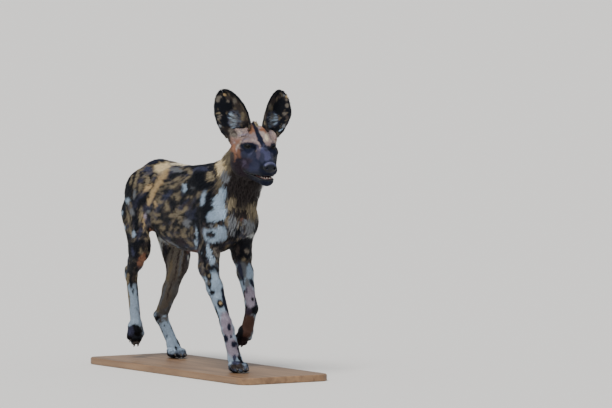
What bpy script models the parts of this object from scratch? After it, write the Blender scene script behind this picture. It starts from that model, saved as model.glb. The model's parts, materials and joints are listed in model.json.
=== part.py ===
# African wild dog, a still, life-size model caught at the trot on a plain display base.
# Metres, +Z up. The dog faces -Y and its left side is +X. The origin is under the middle of the base.
# The body is one smooth field of bones and muscles. It is turned into closed meshes, a node at a time,
# and the nodes are parted with thin flat cuts.

import math
import random

import bmesh
import bpy
import numpy as np
from mathutils import Matrix, Vector

# Display base
baseLength = 0.976
baseWidth = 0.330
baseThick = 0.022
baseCorner = 0.040
baseEdge = 0.003

# Gap kept between touching nodes, and how far a paw stands above the base
gap = 0.0003
floorLevel = baseThick + gap

# Trunk stations, nose to tail: y, top, bottom, height of the widest line, half width
trunkStations = (
    (-0.228, 0.488, 0.460, 0.474, 0.012),
    (-0.205, 0.534, 0.438, 0.480, 0.050),
    (-0.160, 0.586, 0.410, 0.484, 0.068),
    (-0.110, 0.642, 0.376, 0.484, 0.077),
    (-0.050, 0.654, 0.358, 0.486, 0.086),
    (0.020, 0.648, 0.356, 0.486, 0.094),
    (0.100, 0.640, 0.358, 0.486, 0.096),
    (0.170, 0.643, 0.365, 0.494, 0.090),
    (0.240, 0.649, 0.386, 0.514, 0.080),
    (0.310, 0.650, 0.429, 0.530, 0.073),
    (0.350, 0.636, 0.457, 0.534, 0.063),
    (0.385, 0.606, 0.480, 0.534, 0.050),
    (0.412, 0.568, 0.498, 0.532, 0.034),
    (0.430, 0.540, 0.514, 0.528, 0.012),
)

# Joints of each leg, shoulder or hip first, above the top of the base
rightFore = ((-0.070, -0.162, 0.454), (-0.079, -0.143, 0.320), (-0.066, -0.236, 0.134), (-0.06, -0.270, 0.042))
leftFore = ((0.059, -0.136, 0.464), (0.077, -0.090, 0.350), (0.070, -0.160, 0.190), (0.067, -0.132, 0.112))
rightHind = ((-0.052, 0.314, 0.530), (-0.083, 0.274, 0.372), (-0.060, 0.376, 0.272), (-0.057, 0.350, 0.106))
leftHind = ((0.052, 0.314, 0.530), (0.076, 0.290, 0.332), (0.059, 0.384, 0.126), (0.057, 0.306, 0.042))
# The way each foot points
rightForeToe = (0.02, -1.0, 0.0)
leftForeToe = (0.0, 0.42, -0.90)
rightHindToe = (0.02, -0.24, -0.97)
leftHindToe = (0.0, -1.0, 0.0)

# Head: middle point between the eyes, above the top of the base, and how the head is turned
headPlace = (-0.020, -0.357, 0.717)
headYaw = math.radians(-13.0)
headPitch = math.radians(0.0)
headRoll = math.radians(2.7)
eyeRadius = 0.0118
eyeSide = 0.0400
eyeBack = -0.0045
eyeTurn = math.radians(24.0)
lidHalfWidth = 0.0120
lidHalfHeight = 0.0066
lidThick = 0.0019
mouthDepth = 0.0090
lipSize = 0.0040
mouthTurn = 0.36
mouthCentre = -0.0720
mouthCorner = 0.0180
teethInward = 0.0062
gumSize = 0.0017
teethCount = 8
nostrilPath = ((0.0095, -0.1230, -0.0590), (0.0118, -0.1120, -0.0620), (0.0175, -0.1060, -0.0660))
nostrilRadius = (0.0028, 0.0036, 0.0020)

# Ears
earLength = 0.147
earHalfWidth = 0.0530
earThick = 0.0034
earSide = 0.050
earBack = -0.078
earUp = 0.036
earSplay = (math.radians(23.0), math.radians(18.0))
earTurn = math.radians(15.0)

# Tail: root, bend and tip of its core, above the top of the base
tailPath = (
    (0.0, 0.382, 0.556),
    (0.0, 0.418, 0.528),
    (0.003, 0.438, 0.458),
    (0.005, 0.440, 0.388),
    (0.004, 0.437, 0.330),
)
tailRadius = (0.019, 0.019, 0.0185, 0.018, 0.008)
tailBush = (0.019, 0.024, 0.034, 0.033, 0.020)
tailRings = 7
tailRound = 6
tailLock = (0.080, 0.0150, 0.0042)

# Longer hair under the throat and down the sides of the neck: length, half width, half thickness
ruffLock = (0.060, 0.0150, 0.0036)
ruffRings = 6
ruffRound = 8

# The blocks that part a leg from the trunk: low and high end as height, inner face, front and rear
foreCut = ((-0.05, 0.012, -0.360, 0.030), (0.499, 0.054, -0.232, -0.030))
hindCut = ((-0.05, 0.010, 0.130, 0.520), (0.545, 0.050, 0.262, 0.470))
hindParts = ("thigh", "shank", "hock", "paw")
foreParts = ("upper", "lower", "paw")
kneeCutNormal = (0.0, 0.30, -0.95)
legOuter = 0.35
trunkReach = ((-0.13, -0.36, 0.27), (0.13, 0.50, 0.82))

# How far the knuckles stand above the sole of a foot that bears weight and of one that swings
stanceLift = 0.042
swingLift = 0.030

# Sizes of the grid's cells
trunkStep = 0.0125
limbStep = 0.0080
pawStep = 0.0048
headStep = 0.0062

# Triangles that each form is thinned to before it is parted
trunkTriangles = 2000
legTriangles = 1350
headTriangles = 1750
pawTriangles = 430
pawReach = 0.085

# Outline of an ear: height as a share of its length, half width as a share of the widest
earProfileUp = (0.0, 0.15, 0.35, 0.55, 0.72, 0.86, 0.95, 1.0)
earProfileHalf = (0.74, 0.93, 1.0, 0.95, 0.80, 0.60, 0.39, 0.14)
earTilt = math.radians(-6.0)
# The outer half of each ear narrows towards its base: by how much, and up to what share of its length
earPulledIn = (0.04, 0.46)
earPulledTo = 0.62
# An old tear in the rim of the right ear: where it is, how wide and how deep
tornAt = 0.10
tornWidth = 0.0058
tornDepth = 0.0150
tornAbove = 0.012
tornThrough = 0.030

mergeDistance = 0.000002
sharpAngle = math.radians(38.0)
coat = (0.10, 0.075, 0.05, 1.0)


def clearScene():
    for each in list(bpy.data.objects):
        bpy.data.objects.remove(each)


def smoothTable(rows, count=90):
    """Rows of numbers, the first of them rising, as an even table read from a smooth curve."""
    rows = np.array(rows, float)
    at = rows[:, 0]
    slope = np.gradient(rows[:, 1:], at, axis=0)
    even = np.linspace(at[0], at[-1], count)
    cell = np.clip(np.searchsorted(at, even) - 1, 0, len(at) - 2)
    span = (at[cell + 1] - at[cell])[:, None]
    t = ((even - at[cell])[:, None]) / span
    low, high = rows[cell, 1:], rows[cell + 1, 1:]
    table = (
        (2 * t**3 - 3 * t**2 + 1) * low
        + (t**3 - 2 * t**2 + t) * span * slope[cell]
        + (3 * t**2 - 2 * t**3) * high
        + (t**3 - t**2) * span * slope[cell + 1]
    )
    return even, table


def turn(yaw=0.0, pitch=0.0, roll=0.0):
    """Yaw about Z, then pitch (nose up) about X, then roll (left side down) about Y."""
    return np.array(
        Matrix.Rotation(yaw, 3, "Z") @ Matrix.Rotation(-pitch, 3, "X") @ Matrix.Rotation(roll, 3, "Y")
    )


level = np.array((0.0, 0.0, floorLevel))
headTurn = turn(headYaw, headPitch, headRoll)
headOrigin = np.array(headPlace) + level
headReach = np.array((0.115, 0.165, 0.150))
headCut = headOrigin + headTurn @ np.array((0.0, 0.080, -0.040))
headCutNormal = headTurn @ np.array((0.0, -0.93, 0.37))
neckCut = np.array((0.0, -0.118, 0.614)) + level
neckCutNormal = np.array((0.0, -0.886, 0.464))
tailCut = np.array(tailPath[1]) + level
tailCutNormal = np.array((0.0, 0.72, -0.69))


def bone(a, b, ra, rb, blend=0.02, thin=(1, 1, 1), frame=None):
    """A tapered, round-ended limb from a to b."""
    return dict(kind="bone", a=np.array(a, float), b=np.array(b, float), ra=ra, rb=rb,
                blend=blend, thin=np.array(thin, float), frame=frame)


def blob(centre, radii, blend=0.02, frame=None, tilt=0.0):
    """An ellipsoid. Its tilt turns it about X."""
    return dict(kind="blob", a=np.array(centre, float), b=np.array(radii, float),
                blend=blend, frame=frame, tilt=tilt)


def localPoints(points, frame):
    if frame is None:
        return points - level
    origin, axes = frame
    return (points - origin) @ axes


def distanceTo(mass, points):
    """Roughly the distance from the points to one mass, negative inside it."""
    p = localPoints(points, mass["frame"])
    if mass["kind"] == "blob":
        v = p - mass["a"]
        c, s = math.cos(mass["tilt"]), math.sin(mass["tilt"])
        v = np.stack((v[..., 0], v[..., 1] * c + v[..., 2] * s, v[..., 2] * c - v[..., 1] * s), -1)
        near = np.sqrt(((v / mass["b"]) ** 2).sum(-1))
        far = np.sqrt(((v / mass["b"] ** 2) ** 2).sum(-1))
        return near * (near - 1) / np.maximum(far, 1e-9)
    along = mass["b"] - mass["a"]
    t = np.clip(((p - mass["a"]) @ along) / (along @ along), 0, 1)
    v = (p - mass["a"] - t[..., None] * along) / mass["thin"]
    return (np.sqrt((v**2).sum(-1)) - (mass["ra"] + (mass["rb"] - mass["ra"]) * t)) * mass["thin"].min()


def reach(mass):
    """The corners of a box round one mass, with room for its blend."""
    if mass["kind"] == "blob":
        size = mass["b"].max()
        ends = np.array([mass["a"] - size, mass["a"] + size])
    else:
        size = max(mass["ra"], mass["rb"]) * mass["thin"].max()
        ends = np.array([np.minimum(mass["a"], mass["b"]) - size, np.maximum(mass["a"], mass["b"]) + size])
    if mass["frame"] is None:
        ends = ends + level
    else:
        origin, axes = mass["frame"]
        corners = np.array([[x, y, z] for x in ends[:, 0] for y in ends[:, 1] for z in ends[:, 2]])
        corners = corners @ axes.T + origin
        ends = np.array([corners.min(0), corners.max(0)])
    room = mass["blend"] + 0.012
    return ends[0] - room, ends[1] + room


trunkAt, trunkTable = smoothTable(trunkStations)


def trunkDistance(points):
    """Distance to the barrel of the trunk, egg-shaped across."""
    p = localPoints(points, None)
    y = p[..., 1]
    top, bottom, widest, half = (np.interp(y, trunkAt, trunkTable[:, i]) for i in range(4))
    up = np.maximum(np.where(p[..., 2] > widest, top - widest, widest - bottom), 0.004)
    half = np.maximum(half, 0.004)
    round_ = np.sqrt((p[..., 0] / half) ** 2 + ((p[..., 2] - widest) / up) ** 2)
    beyond = np.maximum(np.maximum(trunkAt[0] - y, y - trunkAt[-1]), 0)
    return (round_ - 1) * np.minimum(half, up) + beyond


def foreLeg(joints, side):
    shoulder, elbow, wrist, knuckle = (np.array(j) for j in joints)
    blade = np.array((side * 0.050, -0.052, 0.592))
    down = wrist - elbow
    back = np.array((0, 0.026, 0.014))
    return [
        bone(blade, shoulder, 0.040, 0.046, 0.030, (0.62, 1, 1)),
        bone(shoulder + (0, 0.004, 0.004), elbow + (0, 0, 0.01), 0.044, 0.035, 0.028, (0.78, 1, 1)),
        bone(blade + (0, 0.045, -0.075), elbow + (0, 0.016, 0.020), 0.042, 0.026, 0.030, (0.62, 1, 1)),
        bone(elbow + back * 0.5, elbow + back, 0.020, 0.016, 0.014),
        bone(elbow, elbow + down * 0.30, 0.033, 0.0285, 0.014, (0.84, 1, 1)),
        bone(elbow + down * 0.30, elbow + down * 0.88, 0.0285, 0.0195, 0.012, (0.92, 1, 1)),
        bone(elbow + down * 0.88, wrist, 0.0195, 0.0210, 0.010),
        bone(wrist, knuckle, 0.0190, 0.0200, 0.010, (1.08, 1, 1)),
    ]


def hindLeg(joints, side):
    hip, knee, hock, knuckle = (np.array(j) for j in joints)
    down = hock - knee
    heel = hock + (hock - knuckle) / np.linalg.norm(hock - knuckle) * 0.022
    heel = heel + down / np.linalg.norm(down) * 0.010 + np.array((0, 0.008, 0))
    seat = np.array((side * 0.052, 0.382, 0.472))
    return [
        blob(hip + (side * 0.002, 0.000, 0.012), (0.046, 0.074, 0.066), 0.030),
        bone(hip, knee + (0, 0.014, 0.010), 0.066, 0.038, 0.030, (0.60, 1, 1)),
        bone(seat, knee + down * 0.24 + (0, 0.010, 0), 0.050, 0.028, 0.030, (0.66, 1, 1)),
        bone(knee + (0, -0.004, 0.006), knee + down * 0.12, 0.033, 0.034, 0.018, (0.84, 1, 1)),
        bone(knee + down * 0.12, knee + down * 0.55, 0.036, 0.028, 0.014, (0.82, 1, 1)),
        bone(knee + down * 0.55, hock, 0.029, 0.0205, 0.012, (0.84, 1, 1)),
        bone(knee + down * 0.55 + (0, 0.018, 0), heel, 0.009, 0.0105, 0.014),
        bone(heel, hock, 0.0135, 0.0205, 0.010, (0.90, 1, 1)),
        bone(hock, knuckle, 0.0205, 0.0190, 0.010, (0.94, 1, 1)),
    ]


def footFrame(joints, toe):
    """Origin at the knuckles; columns are the foot's left, its back and its top."""
    ahead = np.array(toe) / np.linalg.norm(toe)
    back = -ahead
    left = np.array((1.0, 0, 0))
    left = left - back * (left @ back)
    left /= np.linalg.norm(left)
    return np.array(joints[3]) + level, np.stack((left, back, np.cross(left, back)), 1)


even = (1, 1, 1)
toeSpread = ((-0.0200, 0.024), (-0.0072, 0.040), (0.0072, 0.040), (0.0200, 0.024))


def foot(joints, toe, lift):
    """Pads and four toes. The lift is how far the knuckles stand above the sole."""
    frame = footFrame(joints, toe)
    sole = -lift
    masses = [
        blob((0, 0.000, sole + 0.0150), (0.0225, 0.020, 0.0165), 0.010, frame),
        bone((0, 0.004, 0), (0, -0.016, sole + 0.026), 0.0185, 0.0180, 0.010, (1.12, 1, 1), frame),
    ]
    for side, ahead in toeSpread:
        knuckle = (side, -ahead, sole + 0.0200)
        tip = (side, -ahead - 0.009, sole + 0.0118)
        masses += [
            bone((side * 0.75, -0.004, sole + 0.024), knuckle, 0.0120, 0.0118, 0.003, even, frame),
            bone(knuckle, tip, 0.0112, 0.0104, 0.003, even, frame),
        ]
    return masses


def head():
    """Skull, cheeks, muzzle and jaw about the point between the eyes. Y runs back, so the nose is at -Y."""
    frame = (headOrigin, headTurn)
    masses = [
        blob((0, 0.058, 0.014), (0.054, 0.062, 0.052), 0.020, frame),
        blob((0, 0.016, 0.010), (0.043, 0.044, 0.033), 0.022, frame),
        bone((0, 0.060, -0.010), (0, 0.100, -0.010), 0.052, 0.052, 0.020, (1, 1, 1), frame),
        bone((0, -0.002, -0.040), (0, -0.084, -0.0620), 0.041, 0.0290, 0.012, (1.02, 1, 0.90), frame),
        bone((0, 0.006, -0.013), (0, -0.090, -0.0570), 0.020, 0.0165, 0.012, (1.08, 1, 1), frame),
        bone((0, 0.050, -0.072), (0, -0.078, -0.1010), 0.036, 0.0215, 0.006, (1.10, 1, 0.95), frame),
        blob((0, -0.1060, -0.0570), (0.0205, 0.0105, 0.0160), 0.004, frame),
    ]
    for side in (-1, 1):
        brow = ((side * 0.026, -0.004, 0.013), (side * 0.047, 0.012, 0.012))
        orbit = ((side * 0.030, -0.002, -0.014), (side * 0.052, 0.016, -0.012))
        flew = ((side * 0.015, -0.086, -0.0720), (side * 0.036, 0.004, -0.0720))
        masses += [
            blob((side * 0.044, 0.040, -0.018), (0.026, 0.050, 0.024), 0.018, frame),
            blob((side * 0.041, 0.056, -0.050), (0.030, 0.042, 0.044), 0.020, frame),
            bone(*brow, 0.0110, 0.0100, 0.012, even, frame),
            bone(*orbit, 0.0090, 0.0100, 0.010, even, frame),
            bone(*flew, 0.0140, 0.0165, 0.010, (1, 1, 0.9), frame),
            blob((side * earSide, -earBack, earUp - 0.012), (0.030, 0.026, 0.028), 0.016, frame),
        ]
    return masses


def neck():
    throat = headOrigin - level
    return [
        bone((0, -0.118, 0.514), (0, -0.212, 0.624), 0.082, 0.064, 0.035, (0.84, 1, 1)),
        bone((0, -0.212, 0.624), throat + (0.014, 0.080, -0.020), 0.064, 0.058, 0.030, (0.92, 1, 1)),
        bone((0, -0.070, 0.584), (0, -0.230, 0.674), 0.052, 0.050, 0.030, (0.80, 1, 1)),
        bone((0, -0.175, 0.469), (0, -0.238, 0.599), 0.050, 0.048, 0.030, (0.95, 1, 1)),
    ]


def bodyMasses():
    masses = neck()
    masses += foreLeg(rightFore, -1) + foreLeg(leftFore, 1)
    masses += hindLeg(rightHind, -1) + hindLeg(leftHind, 1)
    masses += foot(rightFore, rightForeToe, stanceLift) + foot(leftFore, leftForeToe, swingLift)
    masses += foot(rightHind, rightHindToe, swingLift) + foot(leftHind, leftHindToe, stanceLift)
    masses.append(bone(tailPath[0], tailPath[1], 0.028, 0.022, 0.020))
    return masses


def smoothMin(a, b, k):
    h = np.maximum(k - np.abs(a - b), 0) / k
    return np.minimum(a, b) - h * h * k * 0.25


def fieldAt(points, masses):
    """The distance of single points to a list of masses, without the trunk."""
    value = distanceTo(masses[0], points)
    for mass in masses[1:]:
        value = smoothMin(value, distanceTo(mass, points), mass["blend"])
    return value


def fieldOn(axes, masses):
    """The body's distance on a grid."""
    whole = np.stack(np.meshgrid(*axes, indexing="ij"), -1)
    value = trunkDistance(whole)
    for mass in masses:
        low, high = reach(mass)
        first = [max(int(np.searchsorted(a, low[i])) - 1, 0) for i, a in enumerate(axes)]
        last = [min(int(np.searchsorted(a, high[i])) + 1, len(a)) for i, a in enumerate(axes)]
        part = tuple(slice(i, j) for i, j in zip(first, last))
        if any(s.stop <= s.start for s in part):
            continue
        value[part] = smoothMin(value[part], distanceTo(mass, whole[part]), mass["blend"])
    return np.maximum(value, floorLevel - whole[..., 2])


def filled(value, step):
    """Fills each spot where two parts of the form would touch along one edge or at one corner of a cell."""
    little = -0.02 * step
    for _ in range(12):
        inside = value < 0
        changed = 0
        for axis in range(3):
            u, v = [i for i in range(3) if i != axis]

            def corner(du, dv):
                part = [slice(None)] * 3
                part[u] = slice(1, None) if du else slice(None, -1)
                part[v] = slice(1, None) if dv else slice(None, -1)
                return tuple(part)

            a, b, c, d = (corner(*k) for k in ((0, 0), (1, 0), (0, 1), (1, 1)))
            falling = inside[a] & inside[d] & ~inside[b] & ~inside[c]
            rising = inside[b] & inside[c] & ~inside[a] & ~inside[d]
            value[b][falling] = little
            value[a][rising] = little
            changed += int(falling.sum() + rising.sum())
            inside = value < 0
        ends = (slice(None, -1), slice(1, None))
        cube = [tuple(ends[(k >> i) & 1] for i in range(3)) for k in range(8)]
        total = sum(inside[k].astype(int) for k in cube)
        for k in range(4):
            pair = inside[cube[k]] & inside[cube[7 - k]] & (total == 2)
            gone = ~inside[cube[k]] & ~inside[cube[7 - k]] & (total == 6)
            value[cube[k ^ 1]][pair] = little
            value[cube[k]][gone] = little
            changed += int(pair.sum() + gone.sum())
        if not changed:
            break
    return value


def surfaceOf(value, axes):
    """Vertices and quads of the zero surface, one vertex in each cell that it crosses."""
    cells = [n - 1 for n in value.shape]
    inside = value < 0
    starts = np.array([a[0] for a in axes])
    step = axes[0][1] - axes[0][0]
    places, owners, quads, turned = [], [], [], []
    for axis in range(3):
        ahead = tuple(slice(1, None) if i == axis else slice(None) for i in range(3))
        here = tuple(slice(None, -1) if i == axis else slice(None) for i in range(3))
        at = np.argwhere(inside[ahead] != inside[here])
        u, v = [i for i in range(3) if i != axis]
        fits = (at[:, u] > 0) & (at[:, v] > 0) & (at[:, u] < cells[u]) & (at[:, v] < cells[v])
        at = at[fits]
        first = value[here][tuple(at.T)]
        second = value[ahead][tuple(at.T)]
        point = at.astype(float)
        point[:, axis] += first / (first - second)
        corner = []
        for du, dv in ((0, 0), (1, 0), (1, 1), (0, 1)):
            cell = at.copy()
            cell[:, u] -= du
            cell[:, v] -= dv
            corner.append((cell[:, 0] * cells[1] + cell[:, 1]) * cells[2] + cell[:, 2])
            places.append(point)
            owners.append(corner[-1])
        quads.append(np.stack(corner, 1))
        turned.append((first < 0) != (axis == 1))
    owners = np.concatenate(owners)
    places = np.concatenate(places)
    names, index = np.unique(owners, return_inverse=True)
    count = np.bincount(index)
    points = np.stack([np.bincount(index, places[:, i]) / count for i in range(3)], 1) * step + starts
    quads = np.searchsorted(names, np.concatenate(quads))
    turned = np.concatenate(turned)
    quads[~turned] = quads[~turned][:, ::-1]
    return points, quads


def gridAxes(low, high, step):
    return [np.arange(low[i] - 2 * step, high[i] + 2.5 * step, step) for i in range(3)]


def meshObject(name, points, faces, colour=coat, rough=0.85):
    mesh = bpy.data.meshes.new(name)
    mesh.from_pydata([tuple(p) for p in points], [], [tuple(int(i) for i in f) for f in faces])
    mesh.validate()
    made = bpy.data.objects.new(name, mesh)
    bpy.context.scene.collection.objects.link(made)
    paint(made, colour, rough)
    return made


def paint(made, colour, rough):
    finish = bpy.data.materials.new(made.name)
    finish.use_nodes = True
    shader = finish.node_tree.nodes["Principled BSDF"]
    shader.inputs["Base Color"].default_value = colour
    shader.inputs["Roughness"].default_value = rough
    made.data.materials.clear()
    made.data.materials.append(finish)


def cellMesh(low, high, step, masses):
    """The field's surface in a box, drawn onto the zero of the field itself."""
    axes = gridAxes(low, high, step)
    value = fieldOn(axes, masses)
    for axis in range(3):
        for end in (0, -1):
            rim = [slice(None)] * 3
            rim[axis] = end
            value[tuple(rim)] = np.maximum(value[tuple(rim)], step)
    return surfaceOf(filled(value, step), axes)


def copyMesh(made):
    """Puts the mesh that an object's modifiers give in its place."""
    depsgraph = bpy.context.evaluated_depsgraph_get()
    mesh = bpy.data.meshes.new_from_object(made.evaluated_get(depsgraph))
    made.modifiers.clear()
    made.data = mesh
    return made


def thinned(made, triangles):
    """The same form with about so many triangles."""
    bpy.context.view_layer.update()
    count = sum(len(f.vertices) - 2 for f in made.data.polygons)
    if count > triangles:
        fewer = made.modifiers.new("fewer", "DECIMATE")
        fewer.ratio = triangles / count
        copyMesh(made)
    return made


def cut(made, cutter, operation="DIFFERENCE", solver="EXACT"):
    """One Boolean of an object with a cutter, which is then removed."""
    tool = made.modifiers.new("cut", "BOOLEAN")
    tool.operation = operation
    tool.solver = solver
    tool.object = cutter
    copyMesh(made)
    bpy.data.objects.remove(cutter)
    return made


def fused(made, pieces, solver="EXACT"):
    """One Boolean union of an object with a list of others, which are then removed."""
    group = bpy.data.collections.new("pieces")
    for piece in pieces:
        group.objects.link(piece)
    tool = made.modifiers.new("fuse", "BOOLEAN")
    tool.operation = "UNION"
    tool.solver = solver
    tool.operand_type = "COLLECTION"
    tool.collection = group
    copyMesh(made)
    for piece in pieces:
        bpy.data.objects.remove(piece)
    bpy.data.collections.remove(group)
    return made


def largestOnly(made):
    """Keeps the largest closed surface, in triangles."""
    work = bmesh.new()
    work.from_mesh(made.data)
    bmesh.ops.triangulate(work, faces=work.faces[:])
    bmesh.ops.dissolve_degenerate(work, edges=work.edges[:], dist=mergeDistance)
    bmesh.ops.triangulate(work, faces=work.faces[:])
    left = set(work.faces)
    bodies = []
    while left:
        stack = [left.pop()]
        body = list(stack)
        while stack:
            for edge in stack.pop().edges:
                for near in edge.link_faces:
                    if near in left:
                        left.remove(near)
                        stack.append(near)
                        body.append(near)
        bodies.append(body)
    bodies.sort(key=lambda body: -sum(f.calc_area() for f in body))
    loose = [f for body in bodies[1:] for f in body]
    bmesh.ops.delete(work, geom=loose, context="FACES")
    work.normal_update()
    work.to_mesh(made.data)
    work.free()
    return made


def linked(name, work):
    """An object made from a working mesh."""
    mesh = bpy.data.meshes.new(name)
    work.to_mesh(mesh)
    work.free()
    made = bpy.data.objects.new(name, mesh)
    bpy.context.scene.collection.objects.link(made)
    return made


def slab(centre, normal, size=1.4):
    """A big block whose middle of one face is the centre, filling the side that the normal points to."""
    normal = Vector(normal).normalized()
    turned = normal.to_track_quat("Z", "Y").to_matrix().to_4x4()
    place = Matrix.Translation(Vector(centre)) @ turned @ Matrix.Translation((0, 0, size / 2))
    work = bmesh.new()
    bmesh.ops.create_cube(work, size=size, matrix=place)
    return linked("slab", work)


def wedge(side, low, high, outer, grow=0.0):
    """A tapered block beside the trunk. Low and high are (height, inner face, front, rear)."""
    corners = []
    for z, inner, front, rear in (low, high):
        lift = grow if z == high[0] else -grow
        near, ahead, behind = inner - grow, front - grow, rear + grow
        for x, y in ((near, ahead), (outer, ahead), (outer, behind), (near, behind)):
            corners.append((side * x, y, z + lift + floorLevel))
    work = bmesh.new()
    verts = [work.verts.new(c) for c in corners]
    bmesh.ops.convex_hull(work, input=verts)
    bmesh.ops.recalc_face_normals(work, faces=work.faces[:])
    return linked("wedge", work)


def tube(name, path, radii, sides=8, flat=1.0, up=(0, 0, 1), closed=False):
    """A swept tube with pointed-off ends, or a ring where closed. Flat squeezes it across its up way."""
    path = [Vector(p) for p in path]
    count = len(path)
    rings = []
    for i, (p, r) in enumerate(zip(path, radii)):
        ahead = path[(i + 1) % count] if closed or i + 1 < count else p
        behind = path[i - 1] if closed or i > 0 else p
        along = (ahead - behind).normalized()
        side = along.cross(Vector(up)).normalized()
        over = side.cross(along)
        rings.append([p + side * r * math.cos(a) + over * r * flat * math.sin(a)
                      for a in (2 * math.pi * k / sides for k in range(sides))])
    work = bmesh.new()
    loops = [[work.verts.new(v) for v in ring] for ring in rings]
    for i in range(count if closed else count - 1):
        near, far = loops[i], loops[(i + 1) % count]
        for k in range(sides):
            j = (k + 1) % sides
            work.faces.new((near[k], near[j], far[j], far[k]))
    if not closed:
        work.faces.new(loops[0])
        work.faces.new(loops[-1])
    bmesh.ops.recalc_face_normals(work, faces=work.faces[:])
    return linked(name, work)


def ball(name, centre, radii, turned=None, rings=10, parts=14):
    work = bmesh.new()
    bmesh.ops.create_uvsphere(work, u_segments=parts, v_segments=rings, radius=1.0)
    sized = Matrix.Diagonal((*radii, 1.0))
    place = Matrix.Translation(Vector(centre))
    if turned is not None:
        place = place @ Matrix(turned.tolist()).to_4x4()
    work.transform(place @ sized)
    return linked(name, work)


def onHead(x, y, z):
    """A point given about the middle of the eyes, in the scene."""
    return headOrigin + headTurn @ np.array((x, y, z))


def lock(root, lie, out, length, half, thick, rise):
    """A flat lock of hair, sunk in at its root, lying along the coat and tapering to a raised tip."""
    lie = Vector(lie).normalized()
    out = Vector(out).normalized()
    out = (out - lie * out.dot(lie)).normalized()
    side = lie.cross(out)
    work = bmesh.new()
    rings = []
    for along, wide, high in ((-0.20, 0.80, -0.9), (0.30, 1.0, 0.30), (0.78, 0.58, 0.85)):
        middle = Vector(root) + lie * length * along + out * rise * high
        rings.append([
            work.verts.new(middle + side * half * wide),
            work.verts.new(middle + out * thick * wide),
            work.verts.new(middle - side * half * wide),
            work.verts.new(middle - out * thick * wide),
        ])
    tip = work.verts.new(Vector(root) + lie * length + out * rise)
    for near, far in zip(rings, rings[1:]):
        for k in range(4):
            j = (k + 1) % 4
            work.faces.new((near[k], near[j], far[j], far[k]))
    for k in range(4):
        work.faces.new((rings[-1][k], rings[-1][(k + 1) % 4], tip))
    work.faces.new(rings[0])
    bmesh.ops.triangulate(work, faces=work.faces[:])
    bmesh.ops.recalc_face_normals(work, faces=work.faces[:])
    return linked("lock", work)


def onPath(path, share):
    """A point of an even, smooth path and the way it runs."""
    path = [np.array(p, float) for p in path]
    spans = len(path) - 1
    at = min(max(share, 0.0), 0.9999) * spans
    i = int(at)
    t = at - i
    p0, p1, p2, p3 = path[max(i - 1, 0)], path[i], path[i + 1], path[min(i + 2, spans)]
    point = 0.5 * (2 * p1 + (p2 - p0) * t + (2 * p0 - 5 * p1 + 4 * p2 - p3) * t * t
                   + (3 * p1 - p0 - 3 * p2 + p3) * t * t * t)
    way = 0.5 * ((p2 - p0) + 2 * (2 * p0 - 5 * p1 + 4 * p2 - p3) * t
                 + 3 * (3 * p1 - p0 - 3 * p2 + p3) * t * t)
    return point, way / np.linalg.norm(way)


def skinPoint(start, out, masses, far=0.14):
    """Where a line that starts inside the body leaves it, and the skin's normal there."""
    steps = np.linspace(0, far, 121)
    line = start + np.array(out) * steps[:, None]
    value = smoothMin(fieldAt(line, masses), trunkDistance(line), 0.02)
    point = line[int(np.argmax(value > 0))]
    little = 0.004
    around = np.concatenate([point + np.eye(3) * little, point - np.eye(3) * little])
    found = smoothMin(fieldAt(around, masses), trunkDistance(around), 0.02)
    normal = found[:3] - found[3:]
    return point, normal / np.linalg.norm(normal)


def ruffLocks():
    """Shaggy locks round the underside and the sides of the neck, pointing down to the chest."""
    draw = random.Random(11)
    length, half, thick = ruffLock
    top = headCut + headTurn @ np.array((0, 0.028, -0.035))
    bottom = np.array((0.0, -0.175, 0.514)) + level
    masses = neck() + head()
    locks = []
    for i in range(ruffRings):
        share = 0.04 + 0.86 * i / (ruffRings - 1)
        middle = top + (bottom - top) * share
        along = (bottom - top) / np.linalg.norm(bottom - top)
        ahead = np.array((0, -1.0, 0)) - along * (along @ np.array((0, -1.0, 0)))
        ahead /= np.linalg.norm(ahead)
        side = np.cross(along, ahead)
        for k in range(ruffRound):
            a = math.radians(-108 + 216 * (k + 0.5 * (i % 2)) / (ruffRound - 0.5) + draw.uniform(-6, 6))
            out = ahead * math.cos(a) + side * math.sin(a)
            point, normal = skinPoint(middle + along * draw.uniform(-0.008, 0.008), out, masses)
            lie = along - normal * (along @ normal)
            lie = lie + np.cross(normal, lie) * draw.uniform(-0.18, 0.18)
            size = draw.uniform(0.85, 1.15)
            locks.append(lock(point - normal * 0.004, lie, normal, length * size, half * size, thick,
                              0.0065 * draw.uniform(0.8, 1.2)))
    return locks


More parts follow.
